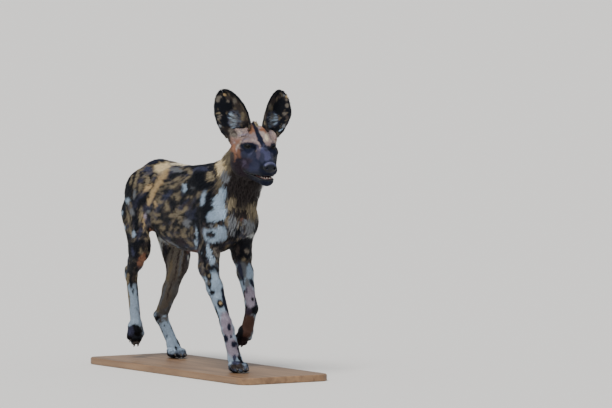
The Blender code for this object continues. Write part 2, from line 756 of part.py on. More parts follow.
def tailNode(clear):
    """The tail: a core with overlapping locks that run down it. It is cut clear of what it hangs beside."""
    draw = random.Random(5)
    path = [np.array(p) + level for p in tailPath]
    away = tailCutNormal / np.linalg.norm(tailCutNormal)
    count = 12
    points = [onPath(path, 0.14 + 0.86 * k / (count - 1))[0] for k in range(count)]
    steps = np.linspace(0, 1, len(tailRadius))
    radii = [float(np.interp(0.14 + 0.86 * k / (count - 1), steps, tailRadius)) for k in range(count)]
    made = tube("tail", points, radii, 8, 1.0, (1, 0, 0))
    length, half, thick = tailLock
    locks = []
    for i in range(tailRings):
        share = 0.17 + 0.76 * i / (tailRings - 1)
        middle, along = onPath(path, share)
        core = float(np.interp(share, steps, tailRadius))
        bush = float(np.interp(min(share + 0.12, 1.0), steps, tailBush))
        side = np.cross(along, (0, 1.0, 0))
        side /= np.linalg.norm(side)
        over = np.cross(side, along)
        for k in range(tailRound):
            a = 2 * math.pi * (k + 0.5 * (i % 2) + draw.uniform(-0.1, 0.1)) / tailRound
            out = side * math.cos(a) + over * math.sin(a)
            lie = along + np.cross(out, along) * draw.uniform(-0.15, 0.15)
            size = draw.uniform(0.85, 1.1) * (0.62 if i == 0 else 1.0)
            locks.append(lock(middle + out * core * 0.82, lie, out, length * size, half * size, thick,
                              max(bush - core * 0.82, 0.006)))
    fused(made, locks, "MANIFOLD")
    cut(made, slab(tailCut + away * gap, away), "INTERSECT", "MANIFOLD")
    for each in clear:
        cut(made, grown(each, gap), "DIFFERENCE", "MANIFOLD")
    largestOnly(made)
    paint(made, (0.5, 0.45, 0.38, 1.0), 0.9)


def shaded():
    """Round forms are shaded smooth, with their true edges kept sharp."""
    for made in bpy.context.scene.objects:
        made.data.shade_smooth()
        made.data.set_sharp_from_angle(angle=sharpAngle)


def claws(joints, toe, lift):
    """Four claws of a foot, each bent down to a blunt point."""
    origin, axes = footFrame(joints, toe)
    made = []
    for side, ahead in toeSpread:
        path = [
            origin + axes @ np.array((side, -ahead - 0.010, -lift + 0.0150)),
            origin + axes @ np.array((side, -ahead - 0.0215, -lift + 0.0130)),
            origin + axes @ np.array((side * 1.02, -ahead - 0.0285, -lift + 0.0065)),
        ]
        made.append(tube("claw", path, (0.0042, 0.0034, 0.0010), 5, 1.0, axes[:, 0]))
    return made


def standBase():
    """A flat board with round corners and a small bevel."""
    outline = []
    for turnQuarter, (sx, sy) in enumerate(((1, 1), (-1, 1), (-1, -1), (1, -1))):
        for k in range(6):
            a = math.pi / 2 * (turnQuarter + k / 5)
            outline.append((sx * (baseWidth / 2 - baseCorner) + baseCorner * math.cos(a),
                            sy * (baseLength / 2 - baseCorner) + baseCorner * math.sin(a)))
    work = bmesh.new()
    bottom = [work.verts.new((x, y, 0)) for x, y in outline]
    floor = work.faces.new(bottom)
    grown = bmesh.ops.extrude_face_region(work, geom=[floor])
    raised = [v for v in grown["geom"] if isinstance(v, bmesh.types.BMVert)]
    bmesh.ops.translate(work, verts=raised, vec=(0, 0, baseThick))
    bmesh.ops.recalc_face_normals(work, faces=work.faces[:])
    rim = [e for e in work.edges if abs(e.verts[0].co.z - e.verts[1].co.z) < mergeDistance]
    bmesh.ops.bevel(work, geom=rim, offset=baseEdge, segments=1, affect="EDGES")
    paint(linked("stand_base", work), (0.30, 0.19, 0.11, 1.0), 0.45)


def earPoint(side, across, up, deep):
    """A point of an ear: across runs -1 to 1 from the inner to the outer rim, up runs 0 to 1."""
    half = np.interp(up, earProfileUp, earProfileHalf) * earHalfWidth
    half *= 1 - earPulledIn[side > 0] * max(1 - up / earPulledTo, 0) * max(across, 0)
    wrap = math.radians(np.interp(up, (0.0, 0.3, 0.65, 1.0), (118.0, 84.0, 62.0, 52.0)))
    radius = half / math.sin(min(wrap, math.pi / 2))
    radius = max(radius - deep, 0.0015)
    x = radius * math.sin(across * wrap)
    y = -(radius - radius * math.cos(across * wrap)) - deep + half * 0.15
    z = up * (earLength - deep)
    lean = np.array(
        Matrix.Rotation(side * earSplay[side > 0], 3, "Y")
        @ Matrix.Rotation(side * earTurn, 3, "Z")
        @ Matrix.Rotation(earTilt, 3, "X")
    )
    local = lean @ np.array((side * x, y, z))
    return onHead(*(local + (side * earSide, -earBack, earUp)))


def earShell(name, side):
    """A closed cup of even thickness: its back, its hollow and the rim between them."""
    rows, columns = 9, 10
    points, faces = [], []
    for deep in (0.0, earThick):
        for i in range(rows):
            up = i / (rows - 1)
            for j in range(columns):
                across = (-1 + 2 * j / (columns - 1)) * (1 if deep == 0 else 0.985)
                points.append(earPoint(side, across, up, deep))
    inner = rows * columns
    for i in range(rows - 1):
        for j in range(columns - 1):
            a = i * columns + j
            quad = (a, a + 1, a + columns + 1, a + columns)
            faces += [(quad[0], quad[1], quad[2]), (quad[0], quad[2], quad[3])]
            quad = tuple(inner + q for q in quad)
            faces += [(quad[2], quad[1], quad[0]), (quad[3], quad[2], quad[0])]
    rim = [j for j in range(columns)]
    rim += [i * columns + columns - 1 for i in range(1, rows)]
    rim += [(rows - 1) * columns + j for j in range(columns - 2, -1, -1)]
    rim += [i * columns for i in range(rows - 2, 0, -1)]
    for k, a in enumerate(rim):
        b = rim[(k + 1) % len(rim)]
        faces += [(b, a, inner + a), (b, inner + a, inner + b)]
    made = meshObject(name, points, faces, (0.16, 0.11, 0.08, 1.0))
    work = bmesh.new()
    work.from_mesh(made.data)
    bmesh.ops.recalc_face_normals(work, faces=work.faces[:])
    work.to_mesh(made.data)
    work.free()
    return made


def tornNotch(side):
    """The wedge that an old tear has taken out of the top of an ear's rim."""
    tip = Vector(earPoint(side, -side * tornAt, 1.0, 0.0))
    upward = (tip - Vector(earPoint(side, 0.0, 0.8, 0.0))).normalized()
    across = (Vector(earPoint(side, 0.6, 0.9, 0.0)) - Vector(earPoint(side, -0.6, 0.9, 0.0))).normalized()
    through = upward.cross(across).normalized()
    work = bmesh.new()
    corners = []
    for depth in (-tornThrough, tornThrough):
        corners += [
            work.verts.new(tip - upward * tornDepth + through * depth),
            work.verts.new(tip + upward * tornAbove - across * tornWidth + through * depth),
            work.verts.new(tip + upward * tornAbove + across * tornWidth * 0.4 + through * depth),
        ]
    bmesh.ops.convex_hull(work, input=corners)
    bmesh.ops.recalc_face_normals(work, faces=work.faces[:])
    return linked("torn", work)


def eyeFrame(side):
    """Centre of an eyeball and the turn that points -Y out of it."""
    return onHead(side * eyeSide, -eyeBack, 0.0), headTurn @ turn(side * eyeTurn)


def lidRing(side):
    """The edge of both lids, an almond that lies on the eyeball."""
    centre, turned = eyeFrame(side)
    path = []
    for k in range(16):
        a = 2 * math.pi * k / 16
        x = lidHalfWidth * math.cos(a)
        z = lidHalfHeight * math.sin(a) * (1 - 0.25 * abs(math.cos(a)))
        reachOut = math.sqrt(max((eyeRadius + lidThick * 0.35) ** 2 - x * x - z * z, 0))
        path.append(Vector(centre + turned @ np.array((x, -reachOut, z))))
    out = Vector((turned @ np.array((0, -1.0, 0))).tolist())
    return tube("lid", path, [lidThick] * 16, 6, 1.0, out, True)


def lidPlug(side):
    """What is cut away between the lids, a cone with an almond outline about the eyeball's axis."""
    centre, turned = eyeFrame(side)
    work = bmesh.new()
    tip = work.verts.new(centre + turned @ np.array((0, eyeRadius * 0.2, 0)))
    ring = []
    for k in range(14):
        a = 2 * math.pi * k / 14
        x = (lidHalfWidth - lidThick * 0.45) * math.cos(a)
        z = (lidHalfHeight - lidThick * 0.45) * math.sin(a) * (1 - 0.25 * abs(math.cos(a)))
        ring.append(work.verts.new(centre + turned @ np.array((x * 1.9, -eyeRadius * 1.9, z * 1.9))))
    work.faces.new(ring)
    for k, vert in enumerate(ring):
        work.faces.new((ring[k - 1], vert, tip))
    bmesh.ops.recalc_face_normals(work, faces=work.faces[:])
    return linked("plug", work)


def mouthHeight(t):
    """Height of the line between the lips. It runs from -1 at the right corner to 1 at the left."""
    return np.interp(abs(t), (0, 0.3, 0.7, 1), (-0.0925, -0.0920, -0.0865, -0.0775))


def mouthGap(t):
    """Half the opening between the lips."""
    return 0.0008 + 0.0040 * (1 - abs(t)) ** 1.2


def mouthPoint(t, rise, inward):
    """A point of the muzzle's surface beside the line of the mouth, moved inwards."""
    height = mouthHeight(t) + rise
    if abs(t) < mouthTurn:
        round_ = math.pi / 2 * t / mouthTurn
        start = np.array((0, mouthCentre, height))
        out = np.array((math.sin(round_), -math.cos(round_), 0))
    else:
        along = (abs(t) - mouthTurn) / (1 - mouthTurn)
        start = np.array((0, mouthCentre + (mouthCorner - mouthCentre) * along, height))
        out = np.array((math.copysign(1.0, t), 0, 0))
    far = np.linspace(0.005, 0.075, 141)
    line = (start + out * far[:, None]) @ headTurn.T + headOrigin
    outside = np.argmax(fieldAt(line, head()) > 0)
    return onHead(*(start + out * (far[outside] - inward)))


def mouthSteps(count, end=1.0):
    return [-end + 2 * end * k / (count - 1) for k in range(count)]


def headUp():
    return Vector((headTurn @ np.array((0, 0, 1.0))).tolist())


def mouthGroove():
    """What is cut away between the lips: a flat tube that goes round the muzzle."""
    steps = mouthSteps(21)
    path = [mouthPoint(t, 0, 0.002) for t in steps]
    made = tube("groove", path, [mouthDepth] * len(steps), 8, 1.0, headUp())
    up = headUp()
    for i, t in enumerate(steps):
        for vert in made.data.vertices[i * 8:i * 8 + 8]:
            high = (vert.co - Vector(path[i])).dot(up)
            vert.co -= up * high * (1 - mouthGap(t) / mouthDepth)
    return made


def lip(way):
    """The rolled edge of the upper lip, way 1, or of the lower lip, way -1."""
    steps = mouthSteps(17, 0.93)
    size = lipSize * (1.15 if way > 0 else 0.95)
    path = [mouthPoint(t, way * (mouthGap(t) + size * 0.75), size * 0.62) for t in steps]
    return tube("lip", path, [size] * len(steps), 6, 1.0, headUp())


def lowerTeeth(skull):
    """The lower gum between the lips, with small front teeth and two canines, cut to sit in the mouth."""
    steps = mouthSteps(11, 0.46)
    path = [mouthPoint(t, -mouthGap(t) * 0.95, teethInward) for t in steps]
    gum = tube("teeth_lower", path, [gumSize] * len(steps), 6, 1.0, headUp())
    up = headUp()
    teeth = []
    for k in range(teethCount):
        t = 0.34 * (-1 + 2 * k / (teethCount - 1))
        canine = k in (0, teethCount - 1)
        high = mouthGap(t) * (1.35 if canine else 0.95)
        wide = 0.0017 if canine else 0.0013
        rooted = Vector(mouthPoint(t, -mouthGap(t) * 0.95, teethInward))
        spike = [rooted, rooted + up * high * 0.55, rooted + up * high]
        teeth.append(tube("tooth", spike, (wide, wide * 0.85, 0.0004), 5))
    fused(gum, teeth)
    cut(gum, grown(skull, gap))
    largestOnly(gum)
    paint(gum, (0.78, 0.72, 0.62, 1.0), 0.3)


def nostril(side):
    """A comma that opens to the front and curls to the side."""
    path = [onHead(side * x, y, z) for x, y, z in nostrilPath]
    return tube("nostril", path, nostrilRadius, 7)


def headNode():
    low, high = headOrigin - headReach, headOrigin + headReach
    made = meshObject("head", *cellMesh(low, high, headStep, head() + neck()))
    thinned(made, headTriangles)
    cut(made, slab(headCut, headCutNormal), "INTERSECT")
    fused(made, [lip(1), lip(-1), lidRing(-1), lidRing(1)])
    cut(made, mouthGroove())
    for side in (-1, 1):
        cut(made, nostril(side))
        cut(made, lidPlug(side))
        centre, turned = eyeFrame(side)
        cut(made, ball("socket", centre, [eyeRadius + gap] * 3, turned, 12, 18))
    return largestOnly(made)


def grown(made, far):
    """A copy of an object, pushed outwards by a small distance."""
    copied = made.copy()
    copied.data = made.data.copy()
    bpy.context.scene.collection.objects.link(copied)
    work = bmesh.new()
    work.from_mesh(copied.data)
    work.normal_update()
    for vert in work.verts:
        vert.co += vert.normal * far * max(1.0, min(vert.calc_shell_factor(), 3.0))
    work.to_mesh(copied.data)
    work.free()
    return copied


def legNodes(name, side, joints, toe, lift, masses, parts, splits, block):
    """The parts of one leg, from the top down. The splits between them are (point, normal) pairs."""
    ends = np.array(joints)
    axesLow = ends.min(0) + level - 0.100
    axesHigh = ends.max(0) + level + 0.120
    axesLow[2] = floorLevel - 0.02
    whole = meshObject("whole", *cellMesh(axesLow, axesHigh, limbStep, masses))
    thinned(whole, legTriangles)
    cut(whole, wedge(side, *block, legOuter), "INTERSECT")
    largestOnly(whole)
    middle = np.array(joints[3]) + level + np.array(toe) * 0.02
    fine = meshObject("fine", *cellMesh(middle - pawReach, middle + pawReach, pawStep, masses))
    thinned(fine, pawTriangles)
    fused(fine, claws(joints, toe, lift))
    made = []
    for i, part in enumerate(parts):
        source = fine if part == "paw" else whole
        piece = source.copy()
        piece.data = source.data.copy()
        piece.name = name + "_" + part
        bpy.context.scene.collection.objects.link(piece)
        if i < len(splits):
            point, normal = splits[i]
            cut(piece, slab(point, -np.array(normal)), "INTERSECT")
        if i > 0:
            point, normal = splits[i - 1]
            away = np.array(normal) / np.linalg.norm(normal)
            cut(piece, slab(point + away * gap, away), "INTERSECT")
        if part == "paw":
            cut(piece, slab(np.array((0, 0, floorLevel)), (0, 0, 1)), "INTERSECT")
        largestOnly(piece)
        paint(piece, coat, 0.85)
        made.append(piece)
    bpy.data.objects.remove(whole)
    bpy.data.objects.remove(fine)
    return made


def headAndFace():
    skull = headNode()
    paint(skull, (0.42, 0.28, 0.20, 1.0), 0.8)
    lowerTeeth(skull)
    for side, word in ((-1, "right"), (1, "left")):
        centre, turned = eyeFrame(side)
        eye = ball("eye_" + word, centre, [eyeRadius] * 3, turned, 10, 14)
        paint(eye, (0.03, 0.02, 0.015, 1.0), 0.08)
        ear = earShell("ear_" + word, side)
        cut(ear, grown(skull, gap))
        if side < 0:
            cut(ear, tornNotch(side))
        largestOnly(ear)


def trunkAndNeck(masses):
    """The torso and the neck come from one form, with the legs' blocks taken out."""
    low, high = np.array(trunkReach)
    trunk = meshObject("torso", *cellMesh(low, high, trunkStep, masses + head()))
    thinned(trunk, trunkTriangles)
    nape = trunk.copy()
    nape.data = trunk.data.copy()
    nape.name = "neck"
    bpy.context.scene.collection.objects.link(nape)
    for side in (-1, 1):
        cut(trunk, wedge(side, *foreCut, legOuter, gap))
        cut(trunk, wedge(side, *hindCut, legOuter, gap))
    fused(nape, ruffLocks())
    for side in (-1, 1):
        cut(nape, wedge(side, *foreCut, legOuter, gap), "DIFFERENCE", "MANIFOLD")
    ahead = neckCutNormal / np.linalg.norm(neckCutNormal)
    back = -headCutNormal / np.linalg.norm(headCutNormal)
    cut(trunk, slab(neckCut, -ahead), "INTERSECT")
    cut(trunk, slab(tailCut, -tailCutNormal), "INTERSECT")
    cut(nape, slab(neckCut + ahead * gap, ahead), "INTERSECT")
    cut(nape, slab(headCut + back * gap, back), "INTERSECT")
    largestOnly(trunk)
    largestOnly(nape)
    paint(nape, (0.07, 0.05, 0.035, 1.0), 0.9)
    return trunk


def foreLegs(masses):
    for word, side, joints, toe, lift in (
        ("right", -1, rightFore, rightForeToe, stanceLift),
        ("left", 1, leftFore, leftForeToe, swingLift),
    ):
        elbow, wrist, knuckle = (np.array(j) + level for j in joints[1:])
        splits = (
            (elbow + (wrist - elbow) * 0.16, wrist - elbow),
            (wrist + (knuckle - wrist) * 0.55, knuckle - wrist),
        )
        legNodes("foreleg_" + word, side, joints, toe, lift, masses, foreParts, splits, foreCut)


def hindLegs(masses):
    made = []
    for word, side, joints, toe, lift in (
        ("right", -1, rightHind, rightHindToe, swingLift),
        ("left", 1, leftHind, leftHindToe, stanceLift),
    ):
        knee, hock, knuckle = (np.array(j) + level for j in joints[1:])
        shank, cannon = hock - knee, knuckle - hock
        splits = (
            (knee + shank * 0.18, kneeCutNormal),
            (hock, shank / np.linalg.norm(shank) + cannon / np.linalg.norm(cannon)),
            (hock + cannon * 0.84, cannon),
        )
        made += legNodes("hindleg_" + word, side, joints, toe, lift, masses, hindParts, splits, hindCut)
    return made


def build():
    clearScene()
    standBase()
    masses = bodyMasses()
    headAndFace()
    trunk = trunkAndNeck(masses)
    foreLegs(masses)
    tailNode([trunk] + hindLegs(masses))
    shaded()


build()
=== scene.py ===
import json
import math

import bmesh
import bpy
import numpy as np
from mathutils import Matrix, Vector
from mathutils.bvhtree import BVHTree
from mathutils.kdtree import KDTree

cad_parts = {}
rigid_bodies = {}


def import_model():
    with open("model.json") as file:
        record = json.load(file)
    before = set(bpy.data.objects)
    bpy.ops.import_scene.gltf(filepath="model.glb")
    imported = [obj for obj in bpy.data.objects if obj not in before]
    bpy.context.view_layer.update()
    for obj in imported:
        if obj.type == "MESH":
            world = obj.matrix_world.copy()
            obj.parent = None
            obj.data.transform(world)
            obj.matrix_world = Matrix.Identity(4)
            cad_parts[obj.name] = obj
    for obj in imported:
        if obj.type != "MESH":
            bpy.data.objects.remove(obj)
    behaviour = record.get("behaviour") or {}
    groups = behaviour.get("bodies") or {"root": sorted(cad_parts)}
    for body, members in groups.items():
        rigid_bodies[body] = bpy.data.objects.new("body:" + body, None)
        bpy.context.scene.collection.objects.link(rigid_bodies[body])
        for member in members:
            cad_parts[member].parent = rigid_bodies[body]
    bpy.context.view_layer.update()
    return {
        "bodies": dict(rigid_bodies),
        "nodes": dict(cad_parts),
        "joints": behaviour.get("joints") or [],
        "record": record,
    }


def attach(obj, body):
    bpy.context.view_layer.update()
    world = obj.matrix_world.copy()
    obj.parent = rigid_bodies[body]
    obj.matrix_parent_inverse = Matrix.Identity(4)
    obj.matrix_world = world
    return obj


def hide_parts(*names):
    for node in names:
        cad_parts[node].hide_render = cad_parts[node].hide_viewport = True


# African wild dog at the trot, still and life-size: skin, coat, eyes, nose, mouth, ears, claws and base.
# Metres, +Z up. The dog faces -Y and its left side is +X.

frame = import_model()

# View, floor and light

viewSizes = {
    "azimuth": -32.0,
    "elevation": 3.5,
    "lens": 400.0,
    "sensor": 36.0,
    "clipEnd": 400.0,
    "widthSeen": 1.958,
    "centre": (0.2687, -0.1679, 0.5397),
    "floorHalf": 60.0,
    "floorColour": (0.80, 0.79, 0.77, 1),
    "floorRoughness": 0.75,
}
lightSizes = {
    "skyStrength": 0.50,
    "skyColour": (0.93, 0.96, 1.0, 1),
    "keyStrength": 3.7,
    "keyColour": (1.0, 0.97, 0.93),
    "keySoftness": 24.0,
    "keyTurn": (30.0, -12.0, -28.0),
}


def addView():
    a, e = math.radians(viewSizes["azimuth"]), math.radians(viewSizes["elevation"])
    back = Vector((math.sin(a) * math.cos(e), -math.cos(a) * math.cos(e), math.sin(e)))
    distance = viewSizes["lens"] / viewSizes["sensor"] * viewSizes["widthSeen"]
    camera = bpy.data.objects.new("camera", bpy.data.cameras.new("camera"))
    camera.data.lens = viewSizes["lens"]
    camera.data.sensor_width = viewSizes["sensor"]
    camera.data.clip_end = viewSizes["clipEnd"]
    camera.location = Vector(viewSizes["centre"]) + back * distance
    camera.rotation_euler = (-back).to_track_quat("-Z", "Y").to_euler()
    bpy.context.scene.collection.objects.link(camera)
    bpy.context.scene.camera = camera


def linked(name, mesh):
    made = bpy.data.objects.new(name, mesh)
    bpy.context.scene.collection.objects.link(made)
    return made


def meshOf(name, points, faces):
    mesh = bpy.data.meshes.new(name)
    mesh.from_pydata([tuple(p) for p in points], [], [tuple(int(i) for i in f) for f in faces])
    return linked(name, mesh)


def meshFrom(name, work):
    mesh = bpy.data.meshes.new(name)
    work.to_mesh(mesh)
    work.free()
    return linked(name, mesh)


def closedMesh(name, work):
    # the object that a bmesh makes, with its faces turned outwards
    bmesh.ops.recalc_face_normals(work, faces=work.faces[:])
    return meshFrom(name, work)


def outwards(made, cutUp=False):
    # turns an object's faces outwards, cut into triangles first where asked
    work = bmesh.new()
    work.from_mesh(made.data)
    if cutUp:
        bmesh.ops.triangulate(work, faces=work.faces[:])
    bmesh.ops.recalc_face_normals(work, faces=work.faces[:])
    work.to_mesh(made.data)
    work.free()
    return made


def plainMaterial(name, colour, roughness):
    material = bpy.data.materials.new(name)
    material.use_nodes = True
    shader = material.node_tree.nodes["Principled BSDF"]
    shader.inputs["Base Color"].default_value = colour
    shader.inputs["Roughness"].default_value = roughness
    return material, material.node_tree, shader


def addStage():
    half = viewSizes["floorHalf"]
    corners = [(-half, -half, 0), (half, -half, 0), (half, half, 0), (-half, half, 0)]
    floor = meshOf("floor", corners, [(0, 1, 2, 3)])
    finish = plainMaterial("paleFloor", viewSizes["floorColour"], viewSizes["floorRoughness"])[0]
    floor.data.materials.append(finish)
    world = bpy.data.worlds.new("studio")
    world.use_nodes = True
    sky = world.node_tree.nodes["Background"]
    sky.inputs["Color"].default_value = lightSizes["skyColour"]
    sky.inputs["Strength"].default_value = lightSizes["skyStrength"]
    bpy.context.scene.world = world
    light = bpy.data.lights.new("key", "SUN")
    light.energy = lightSizes["keyStrength"]
    light.color = lightSizes["keyColour"]
    light.angle = math.radians(lightSizes["keySoftness"])
    key = bpy.data.objects.new("key", light)
    key.rotation_euler = [math.radians(t) for t in lightSizes["keyTurn"]]
    bpy.context.scene.collection.objects.link(key)


addView()
addStage()
print("view and stage")

# The body as one field of bones and muscles

baseTop = 0.022
gap = 0.0003
level = np.array((0.0, 0.0, baseTop + gap))
even = (1, 1, 1)

# Trunk stations, nose to tail: y, top, bottom, height of the widest line, half width
trunkStations = (
    (-0.228, 0.488, 0.460, 0.474, 0.012),
    (-0.205, 0.534, 0.438, 0.480, 0.050),
    (-0.160, 0.586, 0.410, 0.484, 0.068),
    (-0.110, 0.642, 0.376, 0.484, 0.077),
    (-0.050, 0.654, 0.358, 0.486, 0.086),
    (0.020, 0.648, 0.356, 0.486, 0.094),
    (0.100, 0.640, 0.358, 0.486, 0.096),
    (0.170, 0.643, 0.365, 0.494, 0.090),
    (0.240, 0.649, 0.386, 0.514, 0.080),
    (0.310, 0.650, 0.429, 0.530, 0.073),
    (0.350, 0.636, 0.457, 0.534, 0.063),
    (0.385, 0.606, 0.480, 0.534, 0.050),
    (0.412, 0.568, 0.498, 0.532, 0.034),
    (0.430, 0.540, 0.514, 0.528, 0.012),
)

# Shoulder, elbow, wrist and knuckles of each foreleg; hip, knee, hock and knuckles of each hind leg
legSizes = {
    "rightFore": ((-0.070, -0.162, 0.454), (-0.079, -0.143, 0.320),
                  (-0.066, -0.236, 0.134), (-0.060, -0.270, 0.042)),
    "leftFore": ((0.059, -0.136, 0.464), (0.077, -0.090, 0.350),
                 (0.070, -0.160, 0.190), (0.067, -0.132, 0.112)),
    "rightHind": ((-0.052, 0.314, 0.530), (-0.083, 0.274, 0.372),
                  (-0.060, 0.376, 0.272), (-0.057, 0.350, 0.106)),
    "leftHind": ((0.052, 0.314, 0.530), (0.076, 0.290, 0.332),
                 (0.059, 0.384, 0.126), (0.057, 0.306, 0.042)),
}
# The way each foot points, and how far its knuckles stand above the sole
footSizes = {
    "rightFore": ((0.02, -1.0, 0.0), 0.042),
    "leftFore": ((0.0, 0.42, -0.90), 0.030),
    "rightHind": ((0.02, -0.24, -0.97), 0.030),
    "leftHind": ((0.0, -1.0, 0.0), 0.042),
}
toeSpread = ((-0.0200, 0.024), (-0.0072, 0.040), (0.0072, 0.040), (0.0200, 0.024))

headSizes = {
    "place": (-0.020, -0.357, 0.717),
    "yaw": -13.0,
    "pitch": 0.0,
    "roll": 2.7,
}

tailPath = (
    (0.0, 0.382, 0.556),
    (0.0, 0.418, 0.528),
    (0.003, 0.438, 0.458),
    (0.005, 0.440, 0.388),
    (0.004, 0.437, 0.340),
)
tailRadius = (0.020, 0.0165, 0.0150, 0.0125, 0.0060)

# The skin's grid is finer on the head's side of two planes, given by y and z in headFrom
skinSizes = {
    "step": (0.0024, 0.0032, 0.0036),
    "headStep": 0.0020,
    "headFrom": (-0.240, 0.600),
    "low": (-0.140, -0.490, 0.018),
    "high": (0.140, 0.470, 0.834),
    "trunkLow": (-0.13, -0.27, 0.32),
    "trunkHigh": (0.13, 0.47, 0.70),
    "trunkBlend": 0.02,
    "room": 0.012,
    "inside": -0.00005,
    "weld": 0.000003,
    "triangles": 150000,
    "bodyDepth": 0.0036,
    "neckDepth": 0.0020,
    "headDepth": 0.0013,
    "legDepth": 0.0020,
    "footDepth": 0.0010,
}


def turned(yaw=0.0, pitch=0.0, roll=0.0):
    turn = Matrix.Rotation(yaw, 3, "Z") @ Matrix.Rotation(-pitch, 3, "X") @ Matrix.Rotation(roll, 3, "Y")
    return np.array(turn)


headTurn = turned(*(math.radians(headSizes[k]) for k in ("yaw", "pitch", "roll")))
headOrigin = np.array(headSizes["place"]) + level
headUp = Vector((headTurn @ np.array((0, 0, 1.0))).tolist())


def onHead(x, y, z):
    return headOrigin + headTurn @ np.array((x, y, z))


def inHead(points):
    return (points - headOrigin) @ headTurn


def smoothTable(rows, count=90):
    # an even table read from a smooth curve through the rows
    rows = np.array(rows, float)
    at = rows[:, 0]
    slope = np.gradient(rows[:, 1:], at, axis=0)
    places = np.linspace(at[0], at[-1], count)
    cell = np.clip(np.searchsorted(at, places) - 1, 0, len(at) - 2)
    span = (at[cell + 1] - at[cell])[:, None]
    t = ((places - at[cell])[:, None]) / span
    low, high = rows[cell, 1:], rows[cell + 1, 1:]
    table = (
        (2 * t**3 - 3 * t**2 + 1) * low
        + (t**3 - 2 * t**2 + t) * span * slope[cell]
        + (3 * t**2 - 2 * t**3) * high
        + (t**3 - t**2) * span * slope[cell + 1]
    )
    return places, table


def bone(a, b, ra, rb, blend=0.02, thin=even, frame=None, part="body", lie=None, hair=0.014):
    a, b = np.array(a, float), np.array(b, float)
    lie = b - a if lie is None else np.array(lie, float)
    if frame is not None:
        lie = frame[1] @ lie
    return dict(kind="bone", a=a, b=b, ra=ra, rb=rb, blend=blend, thin=np.array(thin, float),
                frame=frame, part=part, lie=lie / np.linalg.norm(lie), hair=hair)


def blob(centre, radii, blend=0.02, frame=None, part="body", lie=(0, 1, -0.2), hair=0.014):
    lie = np.array(lie, float)
    if frame is not None:
        lie = frame[1] @ lie
    return dict(kind="blob", a=np.array(centre, float), b=np.array(radii, float), blend=blend,
                frame=frame, part=part, lie=lie / np.linalg.norm(lie), hair=hair)


def distanceTo(mass, points):
    if mass["frame"] is None:
        p = points - level
    else:
        p = (points - mass["frame"][0]) @ mass["frame"][1]
    if mass["kind"] == "blob":
        v = p - mass["a"]
        near = np.sqrt(((v / mass["b"]) ** 2).sum(-1))
        far = np.sqrt(((v / mass["b"] ** 2) ** 2).sum(-1))
        return near * (near - 1) / np.maximum(far, 1e-9)
    along = mass["b"] - mass["a"]
    t = np.clip(((p - mass["a"]) @ along) / (along @ along), 0, 1)
    v = (p - mass["a"] - t[..., None] * along) / mass["thin"]
    return (np.sqrt((v**2).sum(-1)) - (mass["ra"] + (mass["rb"] - mass["ra"]) * t)) * mass["thin"].min()


def reach(mass, room):
    if mass["kind"] == "blob":
        size = mass["b"].max()
        ends = np.array([mass["a"] - size, mass["a"] + size])
    else:
        size = max(mass["ra"], mass["rb"]) * mass["thin"].max()
        ends = np.array([np.minimum(mass["a"], mass["b"]) - size, np.maximum(mass["a"], mass["b"]) + size])
    if mass["frame"] is None:
        ends = ends + level
    else:
        origin, axes = mass["frame"]
        corners = np.array([[x, y, z] for x in ends[:, 0] for y in ends[:, 1] for z in ends[:, 2]])
        corners = corners @ axes.T + origin
        ends = np.array([corners.min(0), corners.max(0)])
    return ends[0] - room, ends[1] + room


trunkAt, trunkTable = smoothTable(trunkStations)


def trunkDistance(points):
    # the barrel of the trunk, egg-shaped across
    p = points - level
    y = p[..., 1]
    top, bottom, widest, half = (np.interp(y, trunkAt, trunkTable[:, i]) for i in range(4))
    up = np.maximum(np.where(p[..., 2] > widest, top - widest, widest - bottom), 0.004)
    half = np.maximum(half, 0.004)
    across = np.sqrt((p[..., 0] / half) ** 2 + ((p[..., 2] - widest) / up) ** 2)
    beyond = np.maximum(np.maximum(trunkAt[0] - y, y - trunkAt[-1]), 0)
    return (across - 1) * np.minimum(half, up) + beyond


def foreLeg(name, side):
    shoulder, elbow, wrist, knuckle = (np.array(j) for j in legSizes[name])
    blade = np.array((side * 0.050, -0.052, 0.592))
    bladeEnd = blade + (0, 0.045, -0.075)
    down = wrist - elbow
    back = np.array((0, 0.026, 0.014))
    upper = dict(part="body", lie=(0, 0.55, -0.8), hair=0.014)
    lower = dict(part="leg", hair=0.009)
    return [
        bone(blade, shoulder, 0.040, 0.046, 0.030, (0.62, 1, 1), **upper),
        bone(shoulder + (0, 0.004, 0.004), elbow + (0, 0, 0.01), 0.044, 0.035, 0.028, (0.78, 1, 1), **upper),
        bone(bladeEnd, elbow + (0, 0.016, 0.020), 0.042, 0.026, 0.030, (0.62, 1, 1), **upper),
        bone(elbow + back * 0.5, elbow + back, 0.020, 0.016, 0.014,
             part="leg", lie=(0, 0.4, -1), hair=0.011),
        bone(elbow, elbow + down * 0.30, 0.033, 0.0285, 0.014, (0.84, 1, 1), **lower),
        bone(elbow + down * 0.30, elbow + down * 0.88, 0.0285, 0.0195, 0.012, (0.92, 1, 1), **lower),
        bone(elbow + down * 0.88, wrist, 0.0195, 0.0210, 0.010, part="leg", lie=down, hair=0.007),
        bone(wrist, knuckle, 0.0190, 0.0200, 0.010, (1.08, 1, 1), part="leg", hair=0.006),
    ]


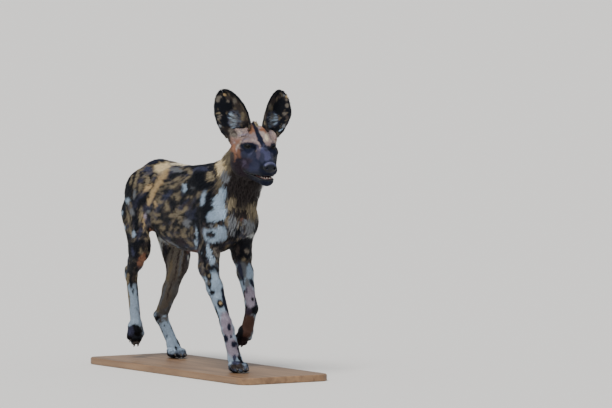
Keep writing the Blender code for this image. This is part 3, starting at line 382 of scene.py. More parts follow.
def hindLeg(name, side):
    hip, knee, hock, knuckle = (np.array(j) for j in legSizes[name])
    down = hock - knee
    heel = hock + (hock - knuckle) / np.linalg.norm(hock - knuckle) * 0.022
    heel = heel + down / np.linalg.norm(down) * 0.010 + np.array((0, 0.008, 0))
    seat = np.array((side * 0.052, 0.382, 0.472))
    thigh = dict(part="body", lie=(0, 0.35, -1), hair=0.014)
    shank = dict(part="leg", hair=0.010)
    return [
        blob(hip + (side * 0.002, 0.000, 0.012), (0.046, 0.074, 0.066), 0.030, lie=(0, 1, -0.6)),
        bone(hip, knee + (0, 0.014, 0.010), 0.066, 0.038, 0.030, (0.60, 1, 1), **thigh),
        bone(seat, knee + down * 0.24 + (0, 0.010, 0), 0.050, 0.028, 0.030, (0.66, 1, 1), **thigh),
        bone(knee + (0, -0.004, 0.006), knee + down * 0.12, 0.033, 0.034, 0.018, (0.84, 1, 1), **thigh),
        bone(knee + down * 0.12, knee + down * 0.55, 0.036, 0.028, 0.014, (0.82, 1, 1), **shank),
        bone(knee + down * 0.55, hock, 0.029, 0.0205, 0.012, (0.84, 1, 1), **shank),
        bone(knee + down * 0.55 + (0, 0.018, 0), heel, 0.009, 0.0105, 0.014, **shank),
        bone(heel, hock, 0.0135, 0.0205, 0.010, (0.90, 1, 1), part="leg", lie=(0, -0.3, -1), hair=0.007),
        bone(hock, knuckle, 0.0205, 0.0190, 0.010, (0.94, 1, 1), part="leg", hair=0.007),
    ]


def footFrame(name):
    # origin at the knuckles; columns are the foot's left, its back and its top
    ahead = np.array(footSizes[name][0])
    back = -ahead / np.linalg.norm(ahead)
    left = np.array((1.0, 0, 0))
    left = left - back * (left @ back)
    left /= np.linalg.norm(left)
    return np.array(legSizes[name][3]) + level, np.stack((left, back, np.cross(left, back)), 1)


def foot(name):
    at = footFrame(name)
    sole = -footSizes[name][1]
    paw = dict(part="foot", lie=(0, -1, -0.3), hair=0.0052)
    masses = [
        blob((0, 0.000, sole + 0.0150), (0.0225, 0.020, 0.0165), 0.010, at, **paw),
        bone((0, 0.004, 0), (0, -0.016, sole + 0.026), 0.0185, 0.0180, 0.010, (1.12, 1, 1), at, **paw),
    ]
    for side, ahead in toeSpread:
        knuckle = (side, -ahead, sole + 0.0200)
        tip = (side, -ahead - 0.009, sole + 0.0118)
        masses += [
            bone((side * 0.75, -0.004, sole + 0.024), knuckle, 0.0120, 0.0118, 0.003, even, at, **paw),
            bone(knuckle, tip, 0.0112, 0.0104, 0.003, even, at, **paw),
        ]
    return masses


earSizes = {
    "length": 0.147,
    "halfWidth": 0.0530,
    "thick": 0.0030,
    "side": 0.050,
    "back": -0.078,
    "up": 0.036,
    "splay": (23.0, 18.0),
    "turn": 15.0,
    "tilt": -6.0,
    "pulledIn": (0.04, 0.46),
    "pulledTo": 0.62,
    "rows": 44,
    "columns": 36,
    "profileUp": (0.0, 0.15, 0.35, 0.55, 0.72, 0.86, 0.95, 1.0),
    "profileHalf": (0.74, 0.93, 1.0, 0.95, 0.80, 0.60, 0.39, 0.14),
    "tornAt": 0.10,
    "tornWidth": 0.0058,
    "tornDepth": 0.0150,
}


def head():
    # about the point between the eyes; Y runs back, so the nose is at -Y
    at = (headOrigin, headTurn)
    face = dict(frame=at, part="head", lie=(0, 1, 0.25), hair=0.0052)
    crown = dict(frame=at, part="head", lie=(0, 1, 0.0), hair=0.0085)
    masses = [
        blob((0, 0.058, 0.014), (0.054, 0.062, 0.052), 0.020, **crown),
        blob((0, 0.016, 0.010), (0.043, 0.044, 0.033), 0.022, **face),
        bone((0, 0.060, -0.010), (0, 0.100, -0.010), 0.052, 0.052, 0.020, **crown),
        bone((0, -0.002, -0.040), (0, -0.084, -0.0620), 0.041, 0.0290, 0.012, (1.02, 1, 0.90), **face),
        bone((0, 0.006, -0.013), (0, -0.090, -0.0570), 0.020, 0.0165, 0.012, (1.08, 1, 1), **face),
        bone((0, 0.050, -0.072), (0, -0.078, -0.1010), 0.036, 0.0215, 0.006, (1.10, 1, 0.95), **face),
        blob((0, -0.1060, -0.0570), (0.0205, 0.0105, 0.0160), 0.004, **face),
    ]
    for side in (-1, 1):
        brow = ((side * 0.026, -0.004, 0.013), (side * 0.047, 0.012, 0.012))
        orbit = ((side * 0.030, -0.002, -0.014), (side * 0.052, 0.016, -0.012))
        flew = ((side * 0.015, -0.086, -0.0720), (side * 0.036, 0.004, -0.0720))
        earRoot = (side * earSizes["side"], -earSizes["back"], earSizes["up"] - 0.012)
        masses += [
            blob((side * 0.044, 0.040, -0.018), (0.026, 0.050, 0.024), 0.018, **face),
            blob((side * 0.041, 0.056, -0.050), (0.030, 0.042, 0.044), 0.020, frame=at, part="head",
                 lie=(side * 0.3, 1, -0.35), hair=0.017),
            bone(*brow, 0.0110, 0.0100, 0.012, **face),
            bone(*orbit, 0.0090, 0.0100, 0.010, **face),
            bone(*flew, 0.0140, 0.0165, 0.010, (1, 1, 0.9), **face),
            blob(earRoot, (0.030, 0.026, 0.028), 0.016, frame=at, part="head",
                 lie=(side * 0.2, 0.2, 1), hair=0.009),
        ]
    return masses


def neck():
    throat = headOrigin - level
    return [
        bone((0, -0.118, 0.514), (0, -0.212, 0.624), 0.082, 0.064, 0.035, (0.84, 1, 1),
             part="neck", lie=(0, 0.45, -1), hair=0.026),
        bone((0, -0.212, 0.624), throat + (0.014, 0.080, -0.020), 0.064, 0.058, 0.030, (0.92, 1, 1),
             part="neck", lie=(0, 0.6, -1), hair=0.028),
        bone((0, -0.070, 0.584), (0, -0.230, 0.674), 0.052, 0.050, 0.030, (0.80, 1, 1),
             part="neck", lie=(0, 1, -0.5), hair=0.020),
        bone((0, -0.175, 0.469), (0, -0.238, 0.599), 0.050, 0.048, 0.030, (0.95, 1, 1),
             part="neck", lie=(0, 0.1, -1), hair=0.034),
    ]


def tail():
    masses = [bone(tailPath[0], tailPath[1], 0.028, 0.022, 0.020, lie=(0, 0.6, -0.8), hair=0.020)]
    for i in range(len(tailPath) - 1):
        masses.append(bone(tailPath[i], tailPath[i + 1], tailRadius[i], tailRadius[i + 1], 0.008,
                           part="tail", hair=0.058))
    return masses


def bodyMasses():
    masses = neck()
    masses += foreLeg("rightFore", -1) + foreLeg("leftFore", 1)
    masses += hindLeg("rightHind", -1) + hindLeg("leftHind", 1)
    for name in legSizes:
        masses += foot(name)
    return masses + tail()


def smoothMin(a, b, k):
    h = np.maximum(k - np.abs(a - b), 0) / k
    return np.minimum(a, b) - h * h * k * 0.25


def smoothStep(low, high, value):
    t = np.clip((value - low) / (high - low), 0, 1)
    return t * t * (3 - 2 * t)


def fieldAt(points, masses, trunk=True):
    value = trunkDistance(points) if trunk else np.full(points.shape[:-1], 1.0)
    for mass in masses:
        value = smoothMin(value, distanceTo(mass, points), mass["blend"])
    return value


def coatDepth(points):
    # how far the skin lies under the tips of the coat
    p = points - level
    depth = np.full(points.shape[:-1], skinSizes["bodyDepth"])
    depth += (skinSizes["legDepth"] - depth) * smoothStep(0.40, 0.30, p[..., 2])
    depth += (skinSizes["footDepth"] - depth) * smoothStep(0.14, 0.09, p[..., 2])
    onNeck = smoothStep(-0.10, -0.20, p[..., 1]) * smoothStep(0.40, 0.46, p[..., 2])
    depth += (skinSizes["neckDepth"] - depth) * onNeck
    far = np.sqrt(((points - headOrigin) ** 2).sum(-1))
    return depth + (skinSizes["headDepth"] - depth) * smoothStep(0.170, 0.110, far)


def stretchedAxis(low, high, step, fineFrom, fineBelow):
    # a grid line that is finer on the head's side of one place
    fine = skinSizes["headStep"]
    if fineBelow:
        return np.concatenate([np.arange(low, fineFrom, fine), np.arange(fineFrom, high, step)])
    return np.concatenate([np.arange(low, fineFrom, step), np.arange(fineFrom, high, fine)])


def fieldOn(axes, masses):
    s = skinSizes
    whole = np.stack(np.meshgrid(*axes, indexing="ij"), -1)
    value = np.full(whole.shape[:-1], 0.05)
    parts = [(np.array(s["trunkLow"]), np.array(s["trunkHigh"]), trunkDistance, s["trunkBlend"])]
    parts += [(*reach(m, m["blend"] + s["room"]), m, m["blend"]) for m in masses]
    for low, high, mass, blend in parts:
        first = [max(int(np.searchsorted(a, low[i])) - 1, 0) for i, a in enumerate(axes)]
        last = [min(int(np.searchsorted(a, high[i])) + 1, len(a)) for i, a in enumerate(axes)]
        part = tuple(slice(i, j) for i, j in zip(first, last))
        points = whole[part]
        found = mass(points) if callable(mass) else distanceTo(mass, points)
        value[part] = smoothMin(value[part], found, blend)
    value += coatDepth(whole)
    return np.maximum(value, level[2] - whole[..., 2])


def filled(value, little):
    # fills each spot where two parts would touch along one edge or at one corner of a cell
    for _ in range(8):
        inside = value < 0
        changed = 0
        for axis in range(3):
            u, v = [i for i in range(3) if i != axis]

            def corner(du, dv):
                part = [slice(None)] * 3
                part[u] = slice(1, None) if du else slice(None, -1)
                part[v] = slice(1, None) if dv else slice(None, -1)
                return tuple(part)

            a, b, c, d = (corner(*k) for k in ((0, 0), (1, 0), (0, 1), (1, 1)))
            falling = inside[a] & inside[d] & ~inside[b] & ~inside[c]
            rising = inside[b] & inside[c] & ~inside[a] & ~inside[d]
            value[b][falling] = little
            value[a][rising] = little
            changed += int(falling.sum() + rising.sum())
            inside = value < 0
        ends = (slice(None, -1), slice(1, None))
        cube = [tuple(ends[(k >> i) & 1] for i in range(3)) for k in range(8)]
        total = sum(inside[k].astype(np.uint8) for k in cube)
        for k in range(4):
            pair = inside[cube[k]] & inside[cube[7 - k]] & (total == 2)
            gone = ~inside[cube[k]] & ~inside[cube[7 - k]] & (total == 6)
            value[cube[k ^ 1]][pair] = little
            value[cube[k]][gone] = little
            changed += int(pair.sum() + gone.sum())
        if not changed:
            break
    return value


def surfaceOf(value, axes):
    # vertices and quads of the zero surface, one vertex in each cell that it crosses
    cells = [n - 1 for n in value.shape]
    inside = value < 0
    places, owners, quads, facing = [], [], [], []
    for axis in range(3):
        ahead = tuple(slice(1, None) if i == axis else slice(None) for i in range(3))
        here = tuple(slice(None, -1) if i == axis else slice(None) for i in range(3))
        at = np.argwhere(inside[ahead] != inside[here])
        u, v = [i for i in range(3) if i != axis]
        fits = (at[:, u] > 0) & (at[:, v] > 0) & (at[:, u] < cells[u]) & (at[:, v] < cells[v])
        at = at[fits]
        first = value[here][tuple(at.T)]
        second = value[ahead][tuple(at.T)]
        point = at.astype(float)
        point[:, axis] += first / (first - second)
        corner = []
        for du, dv in ((0, 0), (1, 0), (1, 1), (0, 1)):
            cell = at.copy()
            cell[:, u] -= du
            cell[:, v] -= dv
            corner.append((cell[:, 0] * cells[1] + cell[:, 1]) * cells[2] + cell[:, 2])
            places.append(point)
            owners.append(corner[-1])
        quads.append(np.stack(corner, 1))
        facing.append((first < 0) != (axis == 1))
    owners = np.concatenate(owners)
    places = np.concatenate(places)
    names, index = np.unique(owners, return_inverse=True)
    count = np.bincount(index)
    means = [np.bincount(index, places[:, i]) / count for i in range(3)]
    points = np.stack([np.interp(m, np.arange(len(a)), a) for m, a in zip(means, axes)], 1)
    quads = np.searchsorted(names, np.concatenate(quads))
    facing = np.concatenate(facing)
    quads[~facing] = quads[~facing][:, ::-1]
    return points, quads


def evaluated(made):
    # the object's mesh becomes the plain mesh that its modifiers give
    graph = bpy.context.evaluated_depsgraph_get()
    mesh = bpy.data.meshes.new_from_object(made.evaluated_get(graph))
    made.modifiers.clear()
    made.data = mesh


def thinned(made, triangles):
    count = sum(len(f.vertices) - 2 for f in made.data.polygons)
    if count > triangles:
        made.modifiers.new("fewer", "DECIMATE").ratio = triangles / count
        evaluated(made)


def joined(made, pieces, operation):
    # one Boolean of a closed mesh with some closed pieces, which are then removed
    group = bpy.data.collections.new("pieces")
    for piece in pieces:
        group.objects.link(piece)
    tool = made.modifiers.new(operation.lower(), "BOOLEAN")
    tool.operation = operation
    tool.solver = "MANIFOLD"
    tool.operand_type = "COLLECTION"
    tool.collection = group
    before = len(made.data.vertices)
    evaluated(made)
    print("  ", operation.lower(), len(pieces), "pieces:", before, "to", len(made.data.vertices), "points")
    for piece in pieces:
        bpy.data.objects.remove(piece)
    bpy.data.collections.remove(group)


def tube(name, path, radii, sides, up=(0, 0, 1), closed=False):
    path = [Vector(p) for p in path]
    count = len(path)
    work = bmesh.new()
    loops = []
    for i, (p, r) in enumerate(zip(path, radii)):
        ahead = path[(i + 1) % count] if closed or i + 1 < count else p
        behind = path[i - 1] if closed or i > 0 else p
        along = (ahead - behind).normalized()
        side = along.cross(Vector(up)).normalized()
        rise = side.cross(along)
        angles = [2 * math.pi * k / sides for k in range(sides)]
        loops.append([work.verts.new(p + side * r * math.cos(a) + rise * r * math.sin(a)) for a in angles])
    for i in range(count if closed else count - 1):
        near, far = loops[i], loops[(i + 1) % count]
        for k in range(sides):
            work.faces.new((near[k], near[(k + 1) % sides], far[(k + 1) % sides], far[k]))
    if not closed:
        work.faces.new(loops[0])
        work.faces.new(loops[-1])
    return closedMesh(name, work)


def ball(name, centre, radii, axes, rings=24, parts=36):
    work = bmesh.new()
    bmesh.ops.create_uvsphere(work, u_segments=parts, v_segments=rings, radius=1.0)
    place = Matrix.Translation(Vector(centre)) @ Matrix(axes.tolist()).to_4x4()
    work.transform(place @ Matrix.Diagonal((*radii, 1.0)))
    return meshFrom(name, work)


# Eyes, lids, nose and mouth

eyeSizes = {
    "radius": 0.0118,
    "side": 0.0400,
    "back": -0.0045,
    "turn": 24.0,
    "lidHalfWidth": 0.0120,
    "lidHalfHeight": 0.0066,
    "lidThick": 0.0017,
    "corneaRise": 0.0009,
    "lidSteps": 40,
    "plugSteps": 32,
    "plugOut": 1.9,
}
mouthSizes = {
    "turn": 0.36,
    "centre": -0.0720,
    "corner": 0.0180,
    "depth": 0.0090,
    "lip": 0.0036,
    "nostrilPath": ((0.0095, -0.1230, -0.0590), (0.0118, -0.1120, -0.0620), (0.0175, -0.1060, -0.0660)),
    "nostrilRadius": (0.0028, 0.0036, 0.0020),
    "teethInward": 0.0064,
    "gum": 0.0019,
    "teeth": 8,
}


def eyeFrame(side):
    centre = onHead(side * eyeSizes["side"], -eyeSizes["back"], 0.0)
    return centre, headTurn @ turned(side * math.radians(eyeSizes["turn"]))


def almond(angle, grow):
    x = (eyeSizes["lidHalfWidth"] + grow) * math.cos(angle)
    z = (eyeSizes["lidHalfHeight"] + grow) * math.sin(angle) * (1 - 0.25 * abs(math.cos(angle)))
    return x, z


def lidRing(side):
    centre, axes = eyeFrame(side)
    path, radii = [], []
    for k in range(eyeSizes["lidSteps"]):
        x, z = almond(2 * math.pi * k / eyeSizes["lidSteps"], 0.0)
        out = math.sqrt(max((eyeSizes["radius"] + eyeSizes["lidThick"] * 0.35) ** 2 - x * x - z * z, 0))
        path.append(Vector(centre + axes @ np.array((x, -out, z))))
        radii.append(eyeSizes["lidThick"] * (1.12 if z > 0 else 0.92))
    out = Vector((axes @ np.array((0, -1.0, 0))).tolist())
    return tube("lid", path, radii, 10, out, True)


def lidPlug(side):
    # a cone from inside the eyeball, which opens the slit between the lids
    centre, axes = eyeFrame(side)
    far = eyeSizes["plugOut"]
    work = bmesh.new()
    tip = work.verts.new(centre + axes @ np.array((0, eyeSizes["radius"] * 0.2, 0)))
    ring = []
    for k in range(eyeSizes["plugSteps"]):
        x, z = almond(2 * math.pi * k / eyeSizes["plugSteps"], -eyeSizes["lidThick"] * 0.45)
        ring.append(work.verts.new(centre + axes @ np.array((x * far, -eyeSizes["radius"] * far, z * far))))
    work.faces.new(ring)
    for k, vert in enumerate(ring):
        work.faces.new((ring[k - 1], vert, tip))
    return closedMesh("plug", work)


def mouthHeight(t):
    return np.interp(abs(t), (0, 0.3, 0.7, 1), (-0.0925, -0.0920, -0.0865, -0.0775))


def mouthGap(t):
    return 0.0008 + 0.0040 * (1 - abs(t)) ** 1.2


headMasses = head()


def mouthPoint(t, rise, inward):
    # a place on the muzzle beside the line of the mouth, t from -1 at the right corner to 1 at the left
    turn, front = mouthSizes["turn"], mouthSizes["centre"]
    height = mouthHeight(t) + rise
    if abs(t) < turn:
        a = math.pi / 2 * t / turn
        start = np.array((0, front, height))
        out = np.array((math.sin(a), -math.cos(a), 0))
    else:
        along = (abs(t) - turn) / (1 - turn)
        start = np.array((0, front + (mouthSizes["corner"] - front) * along, height))
        out = np.array((math.copysign(1.0, t), 0, 0))
    far = np.linspace(0.005, 0.075, 141)
    line = (start + out * far[:, None]) @ headTurn.T + headOrigin
    outside = np.argmax(fieldAt(line, headMasses, False) + skinSizes["headDepth"] > 0)
    return onHead(*(start + out * (far[outside] - inward)))


def mouthSteps(count, end=1.0):
    return [-end + 2 * end * k / (count - 1) for k in range(count)]


def mouthGroove():
    steps = mouthSteps(61)
    path = [mouthPoint(t, 0, 0.002) for t in steps]
    made = tube("groove", path, [mouthSizes["depth"]] * len(steps), 12, headUp)
    for i, t in enumerate(steps):
        for vert in made.data.vertices[i * 12:i * 12 + 12]:
            high = (vert.co - Vector(path[i])).dot(headUp)
            vert.co -= headUp * high * (1 - mouthGap(t) / mouthSizes["depth"])
    return made


def lip(way):
    steps = mouthSteps(57, 0.95)
    size = mouthSizes["lip"] * (1.10 if way > 0 else 0.95)
    path = [mouthPoint(t, way * (mouthGap(t) + size * 0.75), size * 0.70) for t in steps]
    radii = [size * (0.55 + 0.45 * (1 - abs(t)) ** 0.5) for t in steps]
    return tube("lip", path, radii, 10, headUp)


def nostril(side):
    path = [onHead(side * x, y, z) for x, y, z in mouthSizes["nostrilPath"]]
    return tube("nostril", path, mouthSizes["nostrilRadius"], 14)


# Ears

def earPoint(side, across, up, deep):
    # across runs -1 to 1 from the inner to the outer rim, up runs 0 to 1
    half = np.interp(up, earSizes["profileUp"], earSizes["profileHalf"]) * earSizes["halfWidth"]
    half *= 1 - earSizes["pulledIn"][side > 0] * max(1 - up / earSizes["pulledTo"], 0) * max(across, 0)
    wrap = math.radians(np.interp(up, (0.0, 0.3, 0.65, 1.0), (118.0, 84.0, 62.0, 52.0)))
    radius = half / math.sin(min(wrap, math.pi / 2))
    radius = max(radius - deep, 0.0015)
    x = radius * math.sin(across * wrap)
    y = -(radius - radius * math.cos(across * wrap)) - deep + half * 0.15
    z = up * (earSizes["length"] - deep)
    lean = np.array(
        Matrix.Rotation(side * math.radians(earSizes["splay"][side > 0]), 3, "Y")
        @ Matrix.Rotation(side * math.radians(earSizes["turn"]), 3, "Z")
        @ Matrix.Rotation(math.radians(earSizes["tilt"]), 3, "X")
    )
    local = lean @ np.array((side * x, y, z))
    return onHead(*(local + (side * earSizes["side"], -earSizes["back"], earSizes["up"])))


def earRows(side):
    # the places of both faces of an ear, back face first, with where each is: across, up, which face
    rows, columns = earSizes["rows"], earSizes["columns"]
    points, where = [], []
    for deep in (0.0, earSizes["thick"]):
        for i in range(rows):
            up = i / (rows - 1)
            for j in range(columns):
                across = -1 + 2 * j / (columns - 1)
                points.append(earPoint(side, across * (1 if deep == 0 else 0.985), up, deep))
                where.append((across, up, float(deep > 0)))
    return points, where


def earShell(side):
    points, _ = earRows(side)
    rows, columns = earSizes["rows"], earSizes["columns"]
    inner = rows * columns
    faces = []
    for i in range(rows - 1):
        for j in range(columns - 1):
            a = i * columns + j
            faces.append((a, a + 1, a + columns + 1, a + columns))
            faces.append(tuple(inner + q for q in (a + columns, a + columns + 1, a + 1, a)))
    rim = [j for j in range(columns)]
    rim += [i * columns + columns - 1 for i in range(1, rows)]
    rim += [(rows - 1) * columns + j for j in range(columns - 2, -1, -1)]
    rim += [i * columns for i in range(rows - 2, 0, -1)]
    for k, a in enumerate(rim):
        b = rim[(k + 1) % len(rim)]
        faces.append((b, a, inner + a, inner + b))
    return outwards(meshOf("ear", points, faces), True)


def tornNotch(side):
    # what an old tear has taken out of the tip of the ear
    tip = Vector(earPoint(side, earSizes["tornAt"] * -side, 1.0, 0.0))
    upward = (tip - Vector(earPoint(side, 0.0, 0.8, 0.0))).normalized()
    across = (Vector(earPoint(side, 0.6, 0.9, 0)) - Vector(earPoint(side, -0.6, 0.9, 0))).normalized()
    through = upward.cross(across).normalized()
    corners = []
    for depth in (-0.03, 0.03):
        corners += [
            tip - upward * earSizes["tornDepth"] + through * depth,
            tip + upward * 0.012 - across * earSizes["tornWidth"] + through * depth,
            tip + upward * 0.012 + across * earSizes["tornWidth"] * 0.4 + through * depth,
        ]
    work = bmesh.new()
    bmesh.ops.convex_hull(work, input=[work.verts.new(c) for c in corners])
    return closedMesh("torn", work)


# One skin over the whole body

def mended(made):
    # closed again where the cuts leave doubled, stray or missing faces
    work = bmesh.new()
    work.from_mesh(made.data)
    bmesh.ops.remove_doubles(work, verts=work.verts[:], dist=skinSizes["weld"])
    for _ in range(6):
        bmesh.ops.triangulate(work, faces=[f for f in work.faces if len(f.verts) > 4])
        seen = {}
        for face in work.faces:
            seen.setdefault(frozenset(face.verts), []).append(face)
        doubled = [face for same in seen.values() if len(same) > 1 for face in same]
        bmesh.ops.delete(work, geom=doubled, context="FACES")
        rims = [e for e in work.edges if len(e.link_faces) == 1]
        crowded = [e for e in work.edges if len(e.link_faces) > 2]
        print("  mended", len(doubled), "doubled faces;", len(rims), "open,", len(crowded), "crowded edges")
        if not rims and not crowded:
            break
        near = {f for e in rims + crowded for v in e.verts for f in v.link_faces}
        bmesh.ops.delete(work, geom=list(near), context="FACES")
        bmesh.ops.holes_fill(work, edges=[e for e in work.edges if len(e.link_faces) == 1])
    bmesh.ops.delete(work, geom=[v for v in work.verts if not v.link_faces], context="VERTS")
    work.to_mesh(made.data)
    work.free()
    made.data.validate()


def buildSkin(masses):
    s = skinSizes
    axes = [
        np.arange(s["low"][0], s["high"][0], s["step"][0]),
        stretchedAxis(s["low"][1], s["high"][1], s["step"][1], s["headFrom"][0], True),
        stretchedAxis(s["low"][2], s["high"][2], s["step"][2], s["headFrom"][1], False),
    ]
    value = fieldOn(axes, masses)
    print("  field on", value.shape)
    made = meshOf("skin", *surfaceOf(filled(value, s["inside"]), axes))
    print("  surface", len(made.data.polygons))
    thinned(made, s["triangles"])
    print("  thinned", len(made.data.polygons))
    joined(made, [lip(1), lip(-1), lidRing(-1), lidRing(1)], "UNION")
    ears = [earShell(-1), earShell(1)]
    joined(ears[0], [tornNotch(-1)], "DIFFERENCE")
    joined(made, ears, "UNION")
    cutters = [mouthGroove(), nostril(-1), nostril(1), lidPlug(-1), lidPlug(1)]
    for side in (-1, 1):
        centre, axes = eyeFrame(side)
        cutters.append(ball("socket", centre, [eyeSizes["radius"] + gap] * 3, axes))
    for cutter in cutters:
        joined(made, [cutter], "DIFFERENCE")
    mended(made)
    made.data.shade_smooth()
    return made


def fineForms():
    # the tuft on the crown and the wings of the nose, finer than the solids show them
    at = (headOrigin, headTurn)
    crest = blob((-0.005, 0.052, 0.0660), (0.0095, 0.0170, 0.0095), 0.008, at, "head", (0, 0.35, 1), 0.018)
    wings = [blob((side * 0.0150, -0.1065, -0.0590), (0.0085, 0.0090, 0.0100), 0.003, at, "head", hair=0.004)
             for side in (-1, 1)]
    return [crest] + wings


allMasses = bodyMasses() + headMasses + fineForms()
skin = buildSkin(allMasses)
print("skin", len(skin.data.vertices), "points")

# Markings

palette = {
    "black": (17, 21, 31),
    "navy": (22, 29, 54),
    "brown": (74, 66, 64),
    "tan": (148, 136, 112),
    "ochre": (206, 178, 134),
    "cream": (250, 236, 206),
    # white fur, tinted blue as painted sky light
    "white": (178, 200, 223),
    "pale": (206, 212, 214),
    "grey": (128, 132, 138),
    "dun": (130, 123, 114),
    "slate": (66, 70, 96),
    "mauve": (78, 68, 88),
    "dusk": (100, 94, 116),
    "straw": (255, 232, 184),
    # a blue for painted sky sheen on the muzzle's bridge and painted sky reflection on the nose
    "paintedSkyBlue": (92, 95, 132),
    "pink": (172, 162, 180),
    "rust": (104, 78, 70),
    "orange": (182, 128, 100),
    "face": (184, 160, 156),
    "cheek": (160, 114, 90),
    "muzzle": (62, 66, 96),
    "maroon": (48, 38, 48),
    "throat": (44, 38, 38),
    "nose": (18, 22, 32),
    "gum": (70, 30, 32),
}

# The photo's size in pixels, and how deep under the skin a mark reaches, how soft its edge is,
# how far the edge wanders, and how much of that wander each region takes
imageSizes = {
    "width": 612,
    "height": 408,
    "legBelow": 0.36,
    "legDepth": 0.024,
    "bodyDepth": 0.045,
    "edge": 0.20,
    "wander": 2.6,
    "ragged": {
        "face": 0.25,
        "shoulder": 0.45,
        "rightForeleg": 0.5,
        "leftForeleg": 0.5,
        "rightEar": 0.6,
        "leftEar": 0.6,
    },
}
